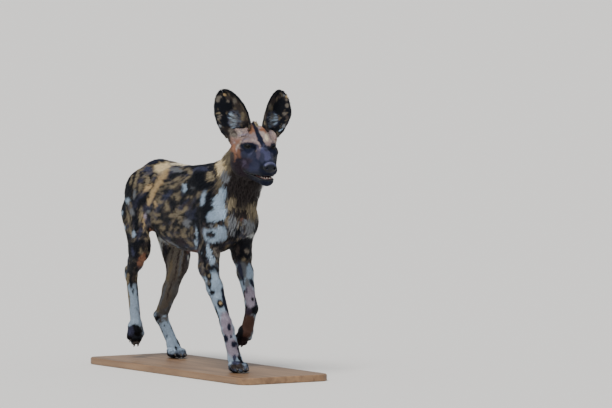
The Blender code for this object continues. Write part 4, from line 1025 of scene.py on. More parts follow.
# Marks as they show on the photo, in its pixels: colour, place across and down,
# half length, half height, and the lean in degrees, turned anticlockwise
seenMarks = {
    "back": (
        ("black", 154, 161.5, 15, 3.2, 4),
        # painted blue sky reflection on the black of the back
        ("slate", 147.2, 169, 3, 3, 30),
        ("straw", 162, 168, 9, 5, 12),
        ("ochre", 163.6, 175.6, 7.5, 3, 55),
        # painted blue sky reflection along the top edge of the back
        ("navy", 150, 162, 13, 2.2, 6),
        ("cream", 179, 164.6, 10, 1.7, -2),
        ("grey", 176.4, 170.6, 6, 2.4, -8),
        ("black", 178, 174.3, 9, 2, 8),
        ("black", 171.6, 177, 4, 1.6, 12),
        ("tan", 189.8, 171.9, 4.4, 2.2, -45),
        ("tan", 188.3, 177.6, 3.6, 1.3, 15),
        ("black", 204, 165.5, 13, 3.2, 10),
        # painted blue sky reflection on the black of the back
        ("slate", 199, 170, 7, 3, 10),
        ("black", 199, 179, 7, 8, 0),
        ("straw", 220.4, 168, 4.6, 7.5, 0),
        ("tan", 210.4, 177.6, 4.4, 5, 10),
        ("grey", 225, 178, 4, 6, 0),
    ),
    "thigh": (
        ("black", 128, 188, 7, 22, -18),
        ("tan", 138, 172.8, 1.8, 9, -8),
        ("tan", 147.2, 180.5, 2.2, 4, 0),
        ("tan", 135.5, 183.7, 1.6, 6, -8),
        ("tan", 131.6, 180.7, 1.3, 5, -12),
        ("tan", 140, 187.5, 1.5, 5, -5),
        ("grey", 135, 194, 1.5, 5, -4),
        ("white", 127.7, 200.6, 2.6, 2.4, 0),
        ("white", 122.4, 213, 1.3, 2, 0),
        ("white", 123.6, 227.8, 1.2, 1.8, 0),
        ("white", 133, 234.8, 2.4, 3.6, 35),
        ("tan", 128.7, 218, 1.4, 7, 12),
        ("grey", 133, 212.4, 2.5, 3.6, 0),
        ("black", 136.5, 222, 2.6, 12, 0),
        ("tan", 140.4, 216, 1.1, 9, -4),
        ("tan", 131, 232, 1, 6, 14),
        ("ochre", 143.5, 222, 1, 9, 4),
        ("tan", 147, 233, 0.9, 6, 28),
        ("grey", 147.5, 212.4, 3.6, 1.1, 20),
        ("pink", 145.2, 217.4, 1.9, 3, 0),
    ),
    "flank": (
        ("ochre", 155, 189, 13, 3, 62),
        ("ochre", 148, 187.6, 7, 2.2, 42),
        ("ochre", 151, 198.6, 6, 2.6, 66),
        ("ochre", 159.5, 183, 4.5, 2.4, 45),
        ("black", 152.6, 187, 4.5, 0.8, 50),
        ("black", 147.6, 193, 4.5, 0.8, 54),
        ("black", 156.7, 178.6, 3.6, 1.5, 50),
        ("black", 151, 183.4, 3, 1.3, 40),
        ("tan", 154.8, 175.7, 3, 1.5, 0),
        ("black", 146.2, 196, 4.5, 1.3, 52),
        ("tan", 176.8, 179.5, 4.5, 2.4, 32),
        ("tan", 173.5, 186.2, 4.6, 1.8, 20),
        ("tan", 165.8, 187.7, 3.2, 1.2, 35),
        ("tan", 166.8, 183.2, 6, 1.1, 12),
        ("black", 164.9, 191, 4.6, 2.4, 22),
        ("black", 178.6, 189.8, 3.6, 1.6, 10),
        ("slate", 166.8, 195.5, 5, 1.8, 8),
        ("white", 184.6, 188.4, 2.2, 5, -10),
        ("tan", 178.8, 197.2, 3.2, 2.8, 0),
        ("black", 192, 186, 4.5, 9, 0),
        ("grey", 195.5, 187.8, 4, 1.3, 0),
        ("tan", 167.3, 206.6, 2.6, 5.6, 6),
        ("tan", 160.6, 201.8, 3.4, 2, -20),
        ("ochre", 155.8, 204, 1.5, 3.6, 0),
        ("ochre", 149.8, 201, 2, 5, -14),
        ("black", 153.4, 205, 1.1, 2.6, 0),
        ("black", 174, 203.6, 5, 5.2, 0),
        ("brown", 186.9, 204.9, 4.5, 2.8, 35),
        ("tan", 183.4, 211, 6.5, 1.6, 36),
        ("tan", 156.6, 214.6, 4, 1.5, 0),
        ("tan", 156.6, 221.6, 5.2, 2.1, 4),
        ("tan", 162.3, 228, 3.4, 2, 0),
        ("cheek", 151.5, 231, 3, 1.2, -15),
        ("tan", 171.9, 214.8, 3, 1.8, 20),
        ("tan", 179.5, 217, 3.2, 1.6, -20),
        ("black", 168, 220.6, 4.6, 2.6, -10),
        ("black", 156, 234.6, 5, 2.2, -14),
        ("tan", 169.3, 233.7, 2.6, 2, -50),
        ("grey", 187.4, 223.3, 4.2, 4.6, 0),
        ("tan", 184, 235, 5.2, 2.3, -52),
        ("tan", 190.6, 243, 4.2, 2.2, -42),
        ("maroon", 180.4, 242, 5.6, 3.6, -10),
        ("grey", 170.6, 242, 6, 0.9, -26),
        ("tan", 157.2, 240.7, 3.6, 1.1, -32),
        ("rust", 184.6, 251.8, 6, 1.4, -8),
        ("rust", 194.2, 250.8, 6, 1.7, 6),
        ("white", 196.8, 242.6, 2.2, 2.8, 0),
    ),
    "shoulder": (
        ("black", 204, 215, 5.8, 11, 0),
        ("black", 204.6, 186, 11, 5, 4),
        ("white", 203.6, 198.6, 2.2, 7.6, -12),
        ("black", 209.4, 198, 3.6, 8, -10),
        ("white", 222.6, 194, 4.4, 7.6, -12),
        ("white", 218, 203, 5.6, 8, -20),
        ("white", 213, 217, 6.2, 6.2, 0),
        ("white", 221, 213, 5.8, 9, 0),
        ("grey", 227.6, 206, 1.8, 9, -6),
        ("black", 209.6, 207.6, 3.4, 4.6, 28),
        ("white", 213.3, 236, 9, 7.4, 0),
        ("white", 222, 232, 4.4, 9, 6),
        ("white", 205.8, 232.6, 2.4, 4.4, 0),
        ("black", 221, 223.6, 3.2, 3.5, 0),
        ("brown", 220.8, 224.2, 1.7, 1.9, 0),
        ("black", 210.9, 225.4, 4.2, 3.7, 0),
        ("grey", 211.5, 226, 2.2, 2, 0),
        ("black", 210.8, 234.8, 4.9, 3.3, 0),
        ("brown", 210.2, 235.2, 2.4, 1.4, 0),
        ("brown", 204.4, 224, 1.2, 1.6, 0),
        ("black", 199.3, 230, 1.9, 13, 6),
        ("white", 196.6, 233.6, 0.9, 6, 6),
    ),
    "face": (
        # painted shadow where the right ear meets the head
        ("throat", 229.4, 130.6, 6.4, 3.4, -20),
        ("brown", 232.6, 132.4, 5.4, 3, -20),
        ("dun", 233.6, 135.4, 4, 2, -20),
        ("brown", 229, 138.6, 2.4, 3.4, 0),
        ("pink", 243.4, 134.6, 5, 0.7, 8),
        ("brown", 242.6, 136.6, 4.6, 0.45, 8),
        ("pink", 246, 139.2, 3.6, 0.5, 14),
        ("orange", 250.8, 130.8, 1.9, 3.2, 0),
        ("orange", 261.8, 129.8, 2.6, 1.5, 0),
        ("tan", 257.4, 124, 2, 2.6, 0),
        ("orange", 233.4, 148.4, 2.6, 4.6, 0),
        ("cheek", 235.2, 155.4, 1.5, 5, 0),
        ("brown", 232.4, 156.4, 2.2, 4.8, 0),
        ("cheek", 239, 153.6, 2, 4.6, 15),
        ("maroon", 236, 165.4, 7.5, 5, -25),
        ("maroon", 243, 171, 6, 5, -35),
        ("slate", 248.4, 154.4, 8.2, 4.6, 0),
        ("mauve", 247.4, 163.4, 6.4, 5.4, 0),
        ("muzzle", 254, 166, 5, 5, 0),
        # painted sky sheen on the top of the muzzle's bridge
        ("paintedSkyBlue", 266.4, 155.4, 4.2, 5.6, 10),
        ("dusk", 258.2, 154, 2, 5, 0),
        ("slate", 262.2, 158, 2.4, 5, 0),
        ("navy", 275.4, 157, 2.4, 6.8, 0),
        ("navy", 249, 147.8, 8.8, 5.6, 0),
        ("navy", 273.2, 147.8, 5, 6, 0),
        ("dusk", 258, 147.6, 1.5, 3.6, 8),
        ("face", 257.6, 142.4, 1.2, 2.4, 20),
        ("face", 268, 141, 2.6, 5.6, 20),
        ("cream", 266.6, 138, 1.6, 3.6, 20),
        ("navy", 253.4, 124.5, 1.4, 4, 28),
        ("navy", 255.2, 128.4, 1.6, 4, 24),
        ("navy", 257, 132.2, 2, 4.4, 23),
        ("navy", 258.6, 135.8, 2.4, 4.4, 23),
        ("navy", 260.4, 139.4, 2.8, 4.6, 24),
        ("navy", 262.2, 143, 2.5, 4.4, 28),
        ("slate", 265.2, 147.6, 2, 4, 24),
        ("navy", 268.6, 172.4, 9.5, 4.6, 0),
        ("nose", 268.4, 168, 8.6, 3.2, 0),
        ("navy", 262, 183, 10, 3.6, 0),
    ),
    "rightEar": (
        ("ochre", 224.6, 94.6, 1.8, 1, 0),
        ("brown", 228.6, 97.8, 1.9, 2.8, 0),
        ("dun", 220, 96.6, 1.8, 0.9, 0),
        ("dun", 217.8, 99.4, 2, 3.2, 0),
        ("black", 223.3, 100.3, 3.4, 2.6, 0),
        ("black", 225, 106.6, 8.2, 4, -8),
        ("dun", 227.9, 101.3, 1.4, 1.4, 0),
        ("dun", 235, 101.2, 1.8, 4, 10),
        ("brown", 236.6, 106, 2, 3, 10),
        ("brown", 239.4, 108.6, 1.4, 3, 14),
        ("tan", 243, 114.6, 1.8, 3.2, 14),
        ("tan", 241.6, 118.4, 1.5, 2.6, 0),
        ("slate", 233, 119.6, 5.4, 8.2, 0),
        ("grey", 233.2, 120.2, 4.4, 6.8, 0),
        ("white", 231.2, 114.4, 1.1, 2, 30),
        ("white", 230.4, 118.2, 2.8, 0.7, -14),
        ("white", 233.2, 124.4, 2.5, 0.7, 10),
        ("white", 233.8, 127.4, 2.6, 0.7, 8),
        ("white", 234.6, 121, 2.4, 0.5, 6),
        ("black", 229.4, 116, 2, 0.6, -30),
        ("black", 224.4, 121.2, 3, 6.4, 0),
        ("tan", 218.4, 113.2, 2.6, 0.8, 15),
        ("dun", 219.8, 115.8, 2.4, 0.7, 25),
        ("dun", 219.2, 118.5, 2.2, 0.7, 25),
        ("grey", 219.8, 126.3, 1.7, 1.4, 0),
        ("dun", 231, 130.4, 2.6, 2.2, 0),
    ),
    "leftEar": (
        ("black", 280.5, 104.6, 4.6, 8.4, 0),
        ("brown", 273.4, 101.6, 2, 3, -28),
        ("dun", 269.9, 106.4, 1.5, 3.2, -18),
        ("brown", 265.5, 116, 1.2, 3.4, -12),
        ("brown", 279.2, 97, 1.7, 1.6, 0),
        ("ochre", 286.8, 96.9, 1.7, 1.1, -30),
        ("dun", 286.6, 99.6, 1.4, 1.1, 0),
        ("grey", 284.2, 95.3, 1.2, 1, 0),
        ("dun", 287.2, 105.6, 2.2, 1.7, 0),
        ("dun", 284.5, 113.5, 2.1, 1.7, 0),
        ("brown", 287, 117.6, 1.4, 2.2, 0),
        ("slate", 273.4, 119.4, 5, 7.6, 0),
        ("grey", 273.2, 120, 4, 6, 0),
        ("white", 275.9, 114.4, 1.9, 0.5, -4),
        ("white", 275.9, 117.3, 2.1, 0.6, 4),
        ("white", 274.4, 120.4, 3.4, 0.7, 9),
        ("black", 273.9, 122, 3, 0.5, 8),
        ("white", 275.2, 123.8, 2.3, 0.7, 28),
        ("grey", 283.8, 126.4, 2, 1.7, 30),
        ("white", 280.9, 130, 2.5, 0.5, 32),
    ),
    "chest": (
        ("throat", 240, 196, 12, 12, 0),
        ("tan", 231.6, 205, 4.6, 6.4, 0),
        ("grey", 232.4, 226, 4.6, 9.5, 0),
        ("tan", 253, 212, 4.6, 7.4, 0),
        ("grey", 247.3, 227.2, 6, 6.6, 0),
        ("throat", 241.4, 214.6, 7, 3.6, 5),
        ("rust", 242.4, 219.4, 6, 1.4, 4),
        ("black", 238.5, 227, 0.8, 6.4, 0),
        ("brown", 244, 228, 0.8, 5, 0),
        ("black", 255.6, 230.8, 4, 4.4, 0),
        ("black", 243.4, 241.6, 13, 4.6, 0),
    ),
    "rightForeleg": (
        ("black", 206, 246, 4.4, 4.4, 0),
        ("brown", 206.6, 245, 1.9, 1.9, 0),
        ("black", 217.4, 251.4, 6, 8.4, 8),
        ("dun", 216.6, 252.6, 3.4, 5.4, 20),
        ("brown", 217.4, 251, 2, 3, 8),
        ("white", 209.4, 253.4, 2.3, 9, 10),
        ("white", 212.4, 261.6, 3.4, 3.4, 0),
        ("black", 204.6, 262, 1.4, 13, 8),
        ("dun", 202.6, 268, 1.2, 4, 0),
        ("black", 213.4, 269, 6.4, 3, -18),
        ("white", 215.4, 284, 5.4, 13, 10),
        ("black", 209.2, 276.6, 2.7, 4.4, 10),
        ("tan", 209.2, 276, 1.3, 1.6, 0),
        ("black", 209.8, 285, 2.4, 3.4, 0),
        ("dun", 209.4, 284, 1.2, 1.3, 0),
        ("black", 212.6, 293, 2.4, 2.4, 0),
        ("white", 216, 305, 5, 9, 12),
        ("black", 220.6, 304, 3.6, 4.2, 0),
        ("ochre", 220.8, 303.2, 1.7, 1.7, 0),
        ("navy", 223.8, 296, 1.9, 9, 12),
        ("navy", 227.4, 309.6, 2, 8, 20),
        ("black", 217.6, 315, 0.9, 8.5, 16),
        ("pink", 227, 326, 6, 14, 14),
        ("pink", 232.4, 348, 7, 10, 14),
        ("navy", 229.3, 327.4, 1.9, 3.9, 6),
        ("navy", 226, 338.4, 2.3, 4, 10),
        ("navy", 231, 336.6, 1.2, 1.6, 30),
        ("navy", 234.4, 344.6, 3.6, 3.4, -40),
        ("slate", 234.6, 357.6, 1.9, 3.4, 10),
        ("navy", 239.4, 350, 2, 3.4, 30),
        ("brown", 238, 366, 8, 4, 0),
        ("slate", 236, 362.6, 4.6, 2, 0),
    ),
    "leftForeleg": (
        ("black", 243, 252, 11, 10, 0),
        ("brown", 237.6, 250, 2, 6, 6),
        ("dun", 246.6, 251, 2.2, 2.6, 30),
        ("tan", 243.6, 259.4, 2.4, 1.6, 20),
        ("grey", 242.4, 270, 4.6, 9, 10),
        ("slate", 240.4, 270, 2, 9, 12),
        ("white", 249.6, 272, 2.8, 8, 6),
        ("navy", 251.8, 283, 1.8, 4.4, 18),
        ("navy", 243.4, 281, 0.9, 5, 12),
        ("grey", 247.4, 284, 2.2, 6, 8),
        ("pink", 250.5, 298, 6, 11, 5),
        ("black", 252.2, 299.3, 1.4, 1.7, 0),
        ("mauve", 246.6, 290.6, 1, 2.6, 0),
        ("navy", 257, 301, 1.2, 6, 12),
        ("black", 255, 310.6, 4.4, 4.6, -20),
        ("mauve", 247.4, 312, 4, 3.6, 0),
        ("rust", 247, 327, 9, 13, -25),
        ("maroon", 243, 342, 7, 6, 0),
        ("black", 240.4, 334, 2.8, 9.5, -5),
    ),
    "rightHindLeg": (
        ("black", 133, 250, 8, 10, 0),
        ("slate", 133, 252, 1.6, 5, 10),
        ("cheek", 142, 261, 4, 7, -20),
        ("black", 131, 268, 3, 8, -25),
        ("tan", 126.4, 266, 1.2, 4, 6),
        ("tan", 127.6, 279, 1.5, 6, -10),
        ("black", 131.5, 281, 2, 8, 0),
        ("brown", 134, 276, 1.8, 6, -6),
        ("white", 125.4, 275.6, 1, 2.2, 0),
        ("white", 129.8, 301, 7, 13, 6),
        ("tan", 125.2, 298, 1.7, 12, 8),
        ("white", 134, 316, 7, 9, 6),
        ("black", 133.4, 291.5, 1.1, 3.2, 0),
        ("black", 133.5, 335, 10, 11, 0),
        ("slate", 130.6, 332, 3.4, 6, 0),
        ("grey", 136, 345.6, 4.6, 2.4, -10),
    ),
    "leftHindLeg": (
        ("dun", 175, 264, 12, 28, -8),
        ("brown", 184, 262, 1.2, 22, -10),
        ("brown", 177, 264, 0.8, 20, -10),
        ("brown", 171.6, 258, 0.8, 14, -10),
        ("grey", 180.4, 264, 1, 18, -10),
        ("tan", 168.6, 276, 1.6, 18, -14),
        ("dun", 164, 296, 8, 17, -20),
        ("brown", 169.4, 290, 0.8, 12, -18),
        ("grey", 163.4, 294, 1.2, 12, -18),
        ("tan", 157.4, 308, 3, 4.6, 0),
        ("black", 157, 318.6, 3, 2.8, 0),
        ("white", 164.5, 330, 5.8, 9, 12),
        ("white", 171, 344, 6, 9, 12),
        ("black", 164.6, 326, 0.8, 1, 0),
        ("black", 162.4, 331.6, 0.8, 1.2, 0),
        ("black", 166.8, 336.6, 0.8, 1.1, 0),
        ("black", 176, 348.4, 1.2, 2.4, 25),
        ("black", 177.4, 357.2, 12, 3.6, 0),
    ),
}


def linear(name):
    c = np.array(palette[name]) / 255.0
    return np.where(c <= 0.04045, c / 12.92, ((c + 0.055) / 1.055) ** 2.4)


def noiseAt(points, scale, seed):
    # smooth random values from 0 to 1, with one for each cell of the given size
    p = points / np.array(scale, float)
    cell = np.floor(p).astype(np.int64)
    t = p - cell
    t = t * t * (3 - 2 * t)
    value = np.zeros(len(p))
    # the large odd numbers stir the place of each corner of a cell into a value of its own
    for dx in (0, 1):
        for dy in (0, 1):
            for dz in (0, 1):
                corner = cell + (dx, dy, dz)
                n = corner[:, 0] * 73856093 ^ corner[:, 1] * 19349663 ^ corner[:, 2] * 83492791
                n = (n ^ seed * 2654435761) & 0xFFFFFFFF
                n = (n ^ (n >> 15)) * 2246822519 & 0xFFFFFFFF
                n = (n ^ (n >> 13)) * 3266489917 & 0xFFFFFFFF
                share = np.where(dx, t[:, 0], 1 - t[:, 0]) * np.where(dy, t[:, 1], 1 - t[:, 1])
                share = share * np.where(dz, t[:, 2], 1 - t[:, 2])
                value += share * ((n ^ (n >> 16)) & 0xFFFF) / 65535.0
    return value


def cloudAt(points, scale, seed):
    # three layers of noise, about 0
    scale = np.array(scale, float)
    layers = ((1.0, 1.0), (2.1, 0.5), (4.3, 0.25))
    return sum(share * (noiseAt(points, scale / finer, seed + k) - 0.5)
               for k, (finer, share) in enumerate(layers))


def flatTone(name, count):
    return np.tile(linear(name), (count, 1))


def blended(first, second, share):
    return first * (1 - share[:, None]) + second * share[:, None]


def painted(colours, *layers):
    # each layer is a colour of the palette and its share at each point
    for name, share in layers:
        colours = blended(colours, linear(name), share)
    return colours


def leaned(points, degrees):
    # the points turned about X, so that streaks run at a slant on the flank
    a = math.radians(degrees)
    y = points[:, 1] * math.cos(a) + points[:, 2] * math.sin(a)
    z = points[:, 2] * math.cos(a) - points[:, 1] * math.sin(a)
    return np.stack((points[:, 0], y, z), 1)


def placeMarks():
    # each mark's place and the way its skin faces, found along the line of sight through its pixel
    tree = BVHTree.FromObject(skin, bpy.context.evaluated_depsgraph_get())
    camera = bpy.context.scene.camera
    axes = camera.rotation_euler.to_matrix()
    step = viewSizes["widthSeen"] / imageSizes["width"]
    placed = []
    for region, rows in seenMarks.items():
        ragged = imageSizes["ragged"].get(region, 1.0)
        for name, u, v, halfLong, halfHigh, lean in rows:
            onPlane = Vector(viewSizes["centre"]) + axes.col[0] * (u - imageSizes["width"] / 2) * step
            onPlane += axes.col[1] * (imageSizes["height"] / 2 - v) * step
            way = (onPlane - camera.location).normalized()
            at, normal, _, _ = tree.ray_cast(camera.location, way)
            if at is None:
                tries = [tree.find_nearest(onPlane + way * (k * 0.02)) for k in range(-30, 31)]
                at, normal = min(tries, key=lambda found: found[3])[:2]
            turn = math.radians(lean)
            placed.append((name, np.array(at), np.array(normal), halfLong, halfHigh, turn, ragged))
    return placed, np.array(axes.col[0]) / step, np.array(axes.col[1]) / step


def markShare(points, normals, mark, right, up, warp):
    _, place, normal, halfLong, halfHigh, lean, ragged = mark
    v = points - place
    depth = imageSizes["legDepth"] if place[2] < imageSizes["legBelow"] else imageSizes["bodyDepth"]
    size = min(min(halfLong, halfHigh) * 0.8, imageSizes["wander"]) * ragged
    across, high = v @ right + warp[0] * size, v @ up + warp[1] * size
    s = across * math.cos(lean) + high * math.sin(lean)
    t = high * math.cos(lean) - across * math.sin(lean)
    near = 1 - np.sqrt((s / halfLong) ** 2 + (t / halfHigh) ** 2 + (v @ normal / depth) ** 2)
    near = smoothStep(-imageSizes["edge"], imageSizes["edge"], near + warp[2] * 0.16 * ragged)
    return near * smoothStep(-0.10, 0.30, normals @ normal)


def addMarks(points, normals, colours):
    warp = [cloudAt(points, (0.012, 0.012, 0.010), k) * 1.3 for k in (101, 111)]
    warp.append(cloudAt(leaned(points, -30), (0.009, 0.012, 0.0045), 121) * 1.8)
    marks, right, up = placeMarks()
    for mark in marks:
        colours = blended(colours, linear(mark[0]), markShare(points, normals, mark, right, up, warp))
    return colours


def bodyColours(points):
    p = points - level
    x, y, z = p.T
    slanted = leaned(p, -30)
    wide = cloudAt(slanted, (0.040, 0.050, 0.020), 3)
    fine = cloudAt(slanted, (0.014, 0.022, 0.0068), 17)
    darker = 0.10 * smoothStep(0.06, -0.02, y) + 0.06 * smoothStep(0.22, 0.28, y)
    under = smoothStep(0.385, 0.345, z) * smoothStep(-0.16, -0.10, y) * smoothStep(0.25, 0.15, y)
    # the side that the photo doesn't show has patches of its own
    left = smoothStep(0.012, 0.030, x)
    own = cloudAt(leaned(p, -20), (0.06, 0.070, 0.036), 61)
    ownOchre = smoothStep(0.14, 0.22, own + 0.3 * fine) * smoothStep(0.42, 0.50, z)
    own = cloudAt(p, (0.06, 0.052, 0.050), 83)
    ownWhite = smoothStep(0.18, 0.23, own + 0.2 * fine + 0.12 * smoothStep(-0.05, -0.16, y))
    # the legs are pale below, with dark islands, and the hind legs stay dark further down
    hind = smoothStep(0.345, 0.30, z) * smoothStep(0.18, 0.21, y) * (x > 0)
    paleBelow = np.where(y > 0.195, np.where(x > 0, 0.142, 0.235), 0.310)
    leg = smoothStep(0.025, -0.025, z - paleBelow + 0.10 * wide + 0.10 * fine)
    spots = cloudAt(p, (0.018, 0.018, 0.026), 47) - np.where(y > 0.195, 0.27, 0.20)
    # the throat is dark and shaggy, the nape tan
    neck = smoothStep(-0.150, -0.205, y - 0.35 * (z - 0.55)) * smoothStep(0.45, 0.52, z)
    nape = smoothStep(0.010, 0.045, (z - 0.60) + 0.9 * (y + 0.235)) * smoothStep(-0.12, -0.16, y)
    chest = smoothStep(-0.165, -0.200, y) * smoothStep(0.545, 0.505, z) * smoothStep(0.40, 0.44, z)
    return painted(
        flatTone("black", len(p)),
        ("brown", smoothStep(-0.06, 0.14, wide + 0.45 * fine) * 0.65),
        ("tan", smoothStep(0.11, 0.19, fine + 0.50 * wide - darker) * 0.75),
        ("slate", smoothStep(0.06, 0.26, cloudAt(slanted, (0.030, 0.040, 0.016), 29)) * 0.6),
        ("brown", under * 0.7),
        ("ochre", ownOchre * left * smoothStep(-0.10, 0.05, y) * 0.9),
        ("pale", ownWhite * left),
        ("brown", hind * 0.8),
        ("white", leg),
        ("black", leg * smoothStep(0.0, 0.05, spots + 0.08 * (x > 0.03))),
        ("slate", smoothStep(0.030, 0.018, z + 0.02 * fine) * 0.7),
        ("throat", neck),
        ("tan", neck * nape * (0.55 + 0.45 * smoothStep(-0.1, 0.1, wide))),
        ("tan", chest * smoothStep(-0.12, 0.12, fine) * 0.6),
    )


def headColours(points, colours):
    # the face, in the head's own frame
    q = inHead(points)
    x, y, z = q.T
    side = np.abs(x)
    fine = cloudAt(q, (0.006, 0.012, 0.007), 7)
    soft = cloudAt(q, (0.022, 0.028, 0.022), 9)
    hairs = cloudAt(q, (0.0026, 0.014, 0.0045), 13)
    # orange where the ears begin and down the cheeks
    root = np.sqrt(((side - 0.018) / 0.010) ** 2 + ((z - 0.056) / 0.014) ** 2)
    cheek = smoothStep(0.030, 0.048, y + 0.06 * fine) * smoothStep(0.030, 0.042, side)
    cheek = cheek * smoothStep(0.034, 0.014, z)
    face = painted(
        flatTone("face", len(q)),
        ("cream", smoothStep(0.0, 0.30, soft) * 0.45),
        ("pink", smoothStep(0.02, 0.22, hairs) * 0.6),
        ("brown", smoothStep(0.10, 0.30, hairs + 0.4 * fine) * smoothStep(0.010, 0.026, side) * 0.5),
        ("orange", smoothStep(1.2, 0.6, root + 0.5 * fine) * 0.85),
        ("cheek", cheek * (0.85 - 0.5 * smoothStep(0.0, 0.2, hairs))),
    )
    # dark below a line that crosses under the eyes and falls to the cheeks
    edge = np.interp(side, (0.0, 0.010, 0.022, 0.032), (0.002, -0.009, -0.012, -0.006))
    edge = edge - 1.30 * np.clip(y - 0.008, 0, 0.026)
    # painted sky sheen: the top of the muzzle's bridge is tinted a lighter blue
    bridgeSheen = smoothStep(0.018, 0.008, side) * smoothStep(-0.052, -0.040, z) * smoothStep(0.004, -0.020, y)
    muzzle = painted(
        flatTone("muzzle", len(q)),
        ("navy", smoothStep(-0.05, 0.25, soft + 0.5 * fine) * 0.55),
        ("paintedSkyBlue", bridgeSheen * 0.7),
        ("navy", smoothStep(-0.070, -0.092, y) * 0.8),
        ("grey", smoothStep(0.10, 0.34, hairs + 0.3 * fine) * smoothStep(-0.055, -0.030, z) * 0.30),
        ("maroon", smoothStep(-0.030, 0.010, y) * 0.85),
        ("nose", smoothStep(-0.078, -0.092, z) * 0.6),
    )
    face = blended(face, muzzle, smoothStep(0.004, -0.004, z - edge + 0.012 * soft + 0.008 * fine))
    # a dark patch round each eye, the stripe from the crown down the forehead, and the crown's tuft
    ring = np.sqrt(((side - 0.0385) / 0.0245) ** 2 + ((z + 0.0015) / 0.0160) ** 2) + 0.16 * fine
    middle = np.interp(z, (0.0, 0.030, 0.055, 0.075), (0.002, 0.001, -0.005, -0.010))
    width = np.interp(z, (-0.02, 0.010, 0.045, 0.075), (0.010, 0.0078, 0.0052, 0.0045))
    stripe = smoothStep(1.3, 0.8, np.abs(x - middle) / width + 0.3 * fine) * smoothStep(0.10, 0.085, y)
    crest = np.sqrt(((x + 0.001) / 0.010) ** 2 + ((y - 0.056) / 0.020) ** 2)
    face = painted(
        face,
        ("throat", smoothStep(-0.050, -0.075, z - 0.2 * y) * smoothStep(0.020, 0.050, y)),
        ("navy", smoothStep(1.15, 0.80, ring) * smoothStep(0.040, 0.022, y)),
        ("navy", stripe * smoothStep(0.050, 0.060, z)),
        ("cheek", smoothStep(1.2, 0.8, crest) * smoothStep(0.064, 0.068, z) * 0.8),
    )
    return blended(colours, face, smoothStep(0.112, 0.088, y - 0.25 * z + 0.03 * soft))


def earColours(points, colours, where):
    # where holds the ear's side, across, up and which face, or 0 off the ears
    on = where[:, 0] != 0
    p = points[on]
    side, across, up, inner = where[on].T
    blot = cloudAt(p, (0.013, 0.013, 0.015), 31)
    fine = cloudAt(p, (0.006, 0.006, 0.008), 33)
    back = painted(
        flatTone("black", len(p)),
        ("tan", smoothStep(0.02, 0.20, blot + 0.5 * fine) * 0.7),
        ("brown", smoothStep(0.12, 0.0, up) * 0.8),
    )
    warm = smoothStep(-0.30, -0.45, across) * smoothStep(-0.97, -0.88, across)
    warm = warm * smoothStep(0.10, 0.25, up) * smoothStep(0.95, 0.75, up)
    dark = np.sqrt(((across - 0.25) / 0.45) ** 2 + ((up - 0.64) / 0.13) ** 2)
    # pale strands that cross the cup from its inner side
    strands = cloudAt(np.stack((across, up, side), 1), (0.55, 0.050, 1.0), 37)
    hairs = np.sqrt(((across + 0.10) / 0.30) ** 2 + ((up - 0.33) / 0.19) ** 2)
    hairs = smoothStep(1.20, 0.80, hairs + 0.5 * fine)
    cup = painted(
        flatTone("black", len(p)),
        ("brown", smoothStep(0.04, 0.24, blot + 0.5 * fine) * 0.75),
        ("tan", smoothStep(0.14, 0.34, fine + 0.5 * blot) * 0.55),
        ("brown", warm * 0.9),
        ("tan", warm * smoothStep(-0.05, 0.20, fine) * 0.45),
        ("black", smoothStep(1.25, 0.75, dark + 0.6 * fine)),
        ("slate", hairs * 0.8),
        ("white", hairs * smoothStep(-0.06, 0.20, strands) * 0.36),
        ("throat", smoothStep(0.14, 0.02, up) * 0.8),
    )
    rim = np.maximum(smoothStep(0.90, 0.97, np.abs(across)), smoothStep(0.965, 0.99, up))
    colours = colours.copy()
    colours[on] = painted(blended(back, cup, inner), ("black", rim * smoothStep(0.05, 0.15, up)))
    return colours


def tailColours(points, colours, onTail):
    z = (points - level)[:, 2]
    fine = cloudAt(points, (0.014, 0.014, 0.020), 51)
    tail = painted(
        flatTone("ochre", len(points)),
        ("brown", smoothStep(-0.05, 0.15, fine) * 0.6),
        ("black", smoothStep(0.505, 0.485, z + 0.03 * fine)),
        ("pale", smoothStep(0.445, 0.425, z + 0.03 * fine)),
    )
    return blended(colours, tail, onTail)


# What the coat reads from the skin: its lie, length, zone and colour

def verticesOf(mesh):
    flat = np.zeros(len(mesh.vertices) * 3)
    mesh.vertices.foreach_get("co", flat)
    return flat.reshape(-1, 3)


def normalsOf(mesh):
    flat = np.zeros(len(mesh.vertices) * 3, np.float32)
    mesh.vertex_normals.foreach_get("vector", flat)
    return flat.reshape(-1, 3).astype(float)


zoneNames = ("face", "crown", "neck", "rightFlank", "leftFlank", "rightRump", "leftRump",
             "forelegs", "hindlegs", "rightEar", "leftEar", "tail", "bare")

lieSizes = {
    "trunkLie": (0, 1.0, -0.28),
    "trunkHair": 0.0145,
    "trunkFade": 0.014,
    "fade": 0.008,
    "neckFade": 0.016,
    "near": 0.06,
    "earBall": 0.14,
    "earNear": 0.0035,
    "cupHair": 0.0050,
    "earBackHair": 0.0075,
    "cupTuftHair": 0.016,
    "wander": 0.20,
    "wanderCell": 0.040,
    "rumpFrom": 0.120,
    "faceBefore": 0.020,
}


def earPlaces(points):
    where = np.zeros((len(points), 4))
    for side in (-1, 1):
        shell, known = earRows(side)
        tree = KDTree(len(shell))
        for i, p in enumerate(shell):
            tree.insert(p, i)
        tree.balance()
        centre = onHead(side * 0.08, 0.05, 0.11)
        for i in np.where(((points - centre) ** 2).sum(1) < lieSizes["earBall"]**2)[0]:
            _, nearest, far = tree.find(points[i])
            if far < lieSizes["earNear"]:
                where[i] = (side, *known[nearest])
    return where


def pathDistance(points, path):
    best = np.full(len(points), 1.0)
    for a, b in zip(path, path[1:]):
        a, b = np.array(a), np.array(b)
        t = np.clip(((points - a) @ (b - a)) / ((b - a) @ (b - a)), 0, 1)
        best = np.minimum(best, np.sqrt(((points - a - t[:, None] * (b - a)) ** 2).sum(1)))
    return best


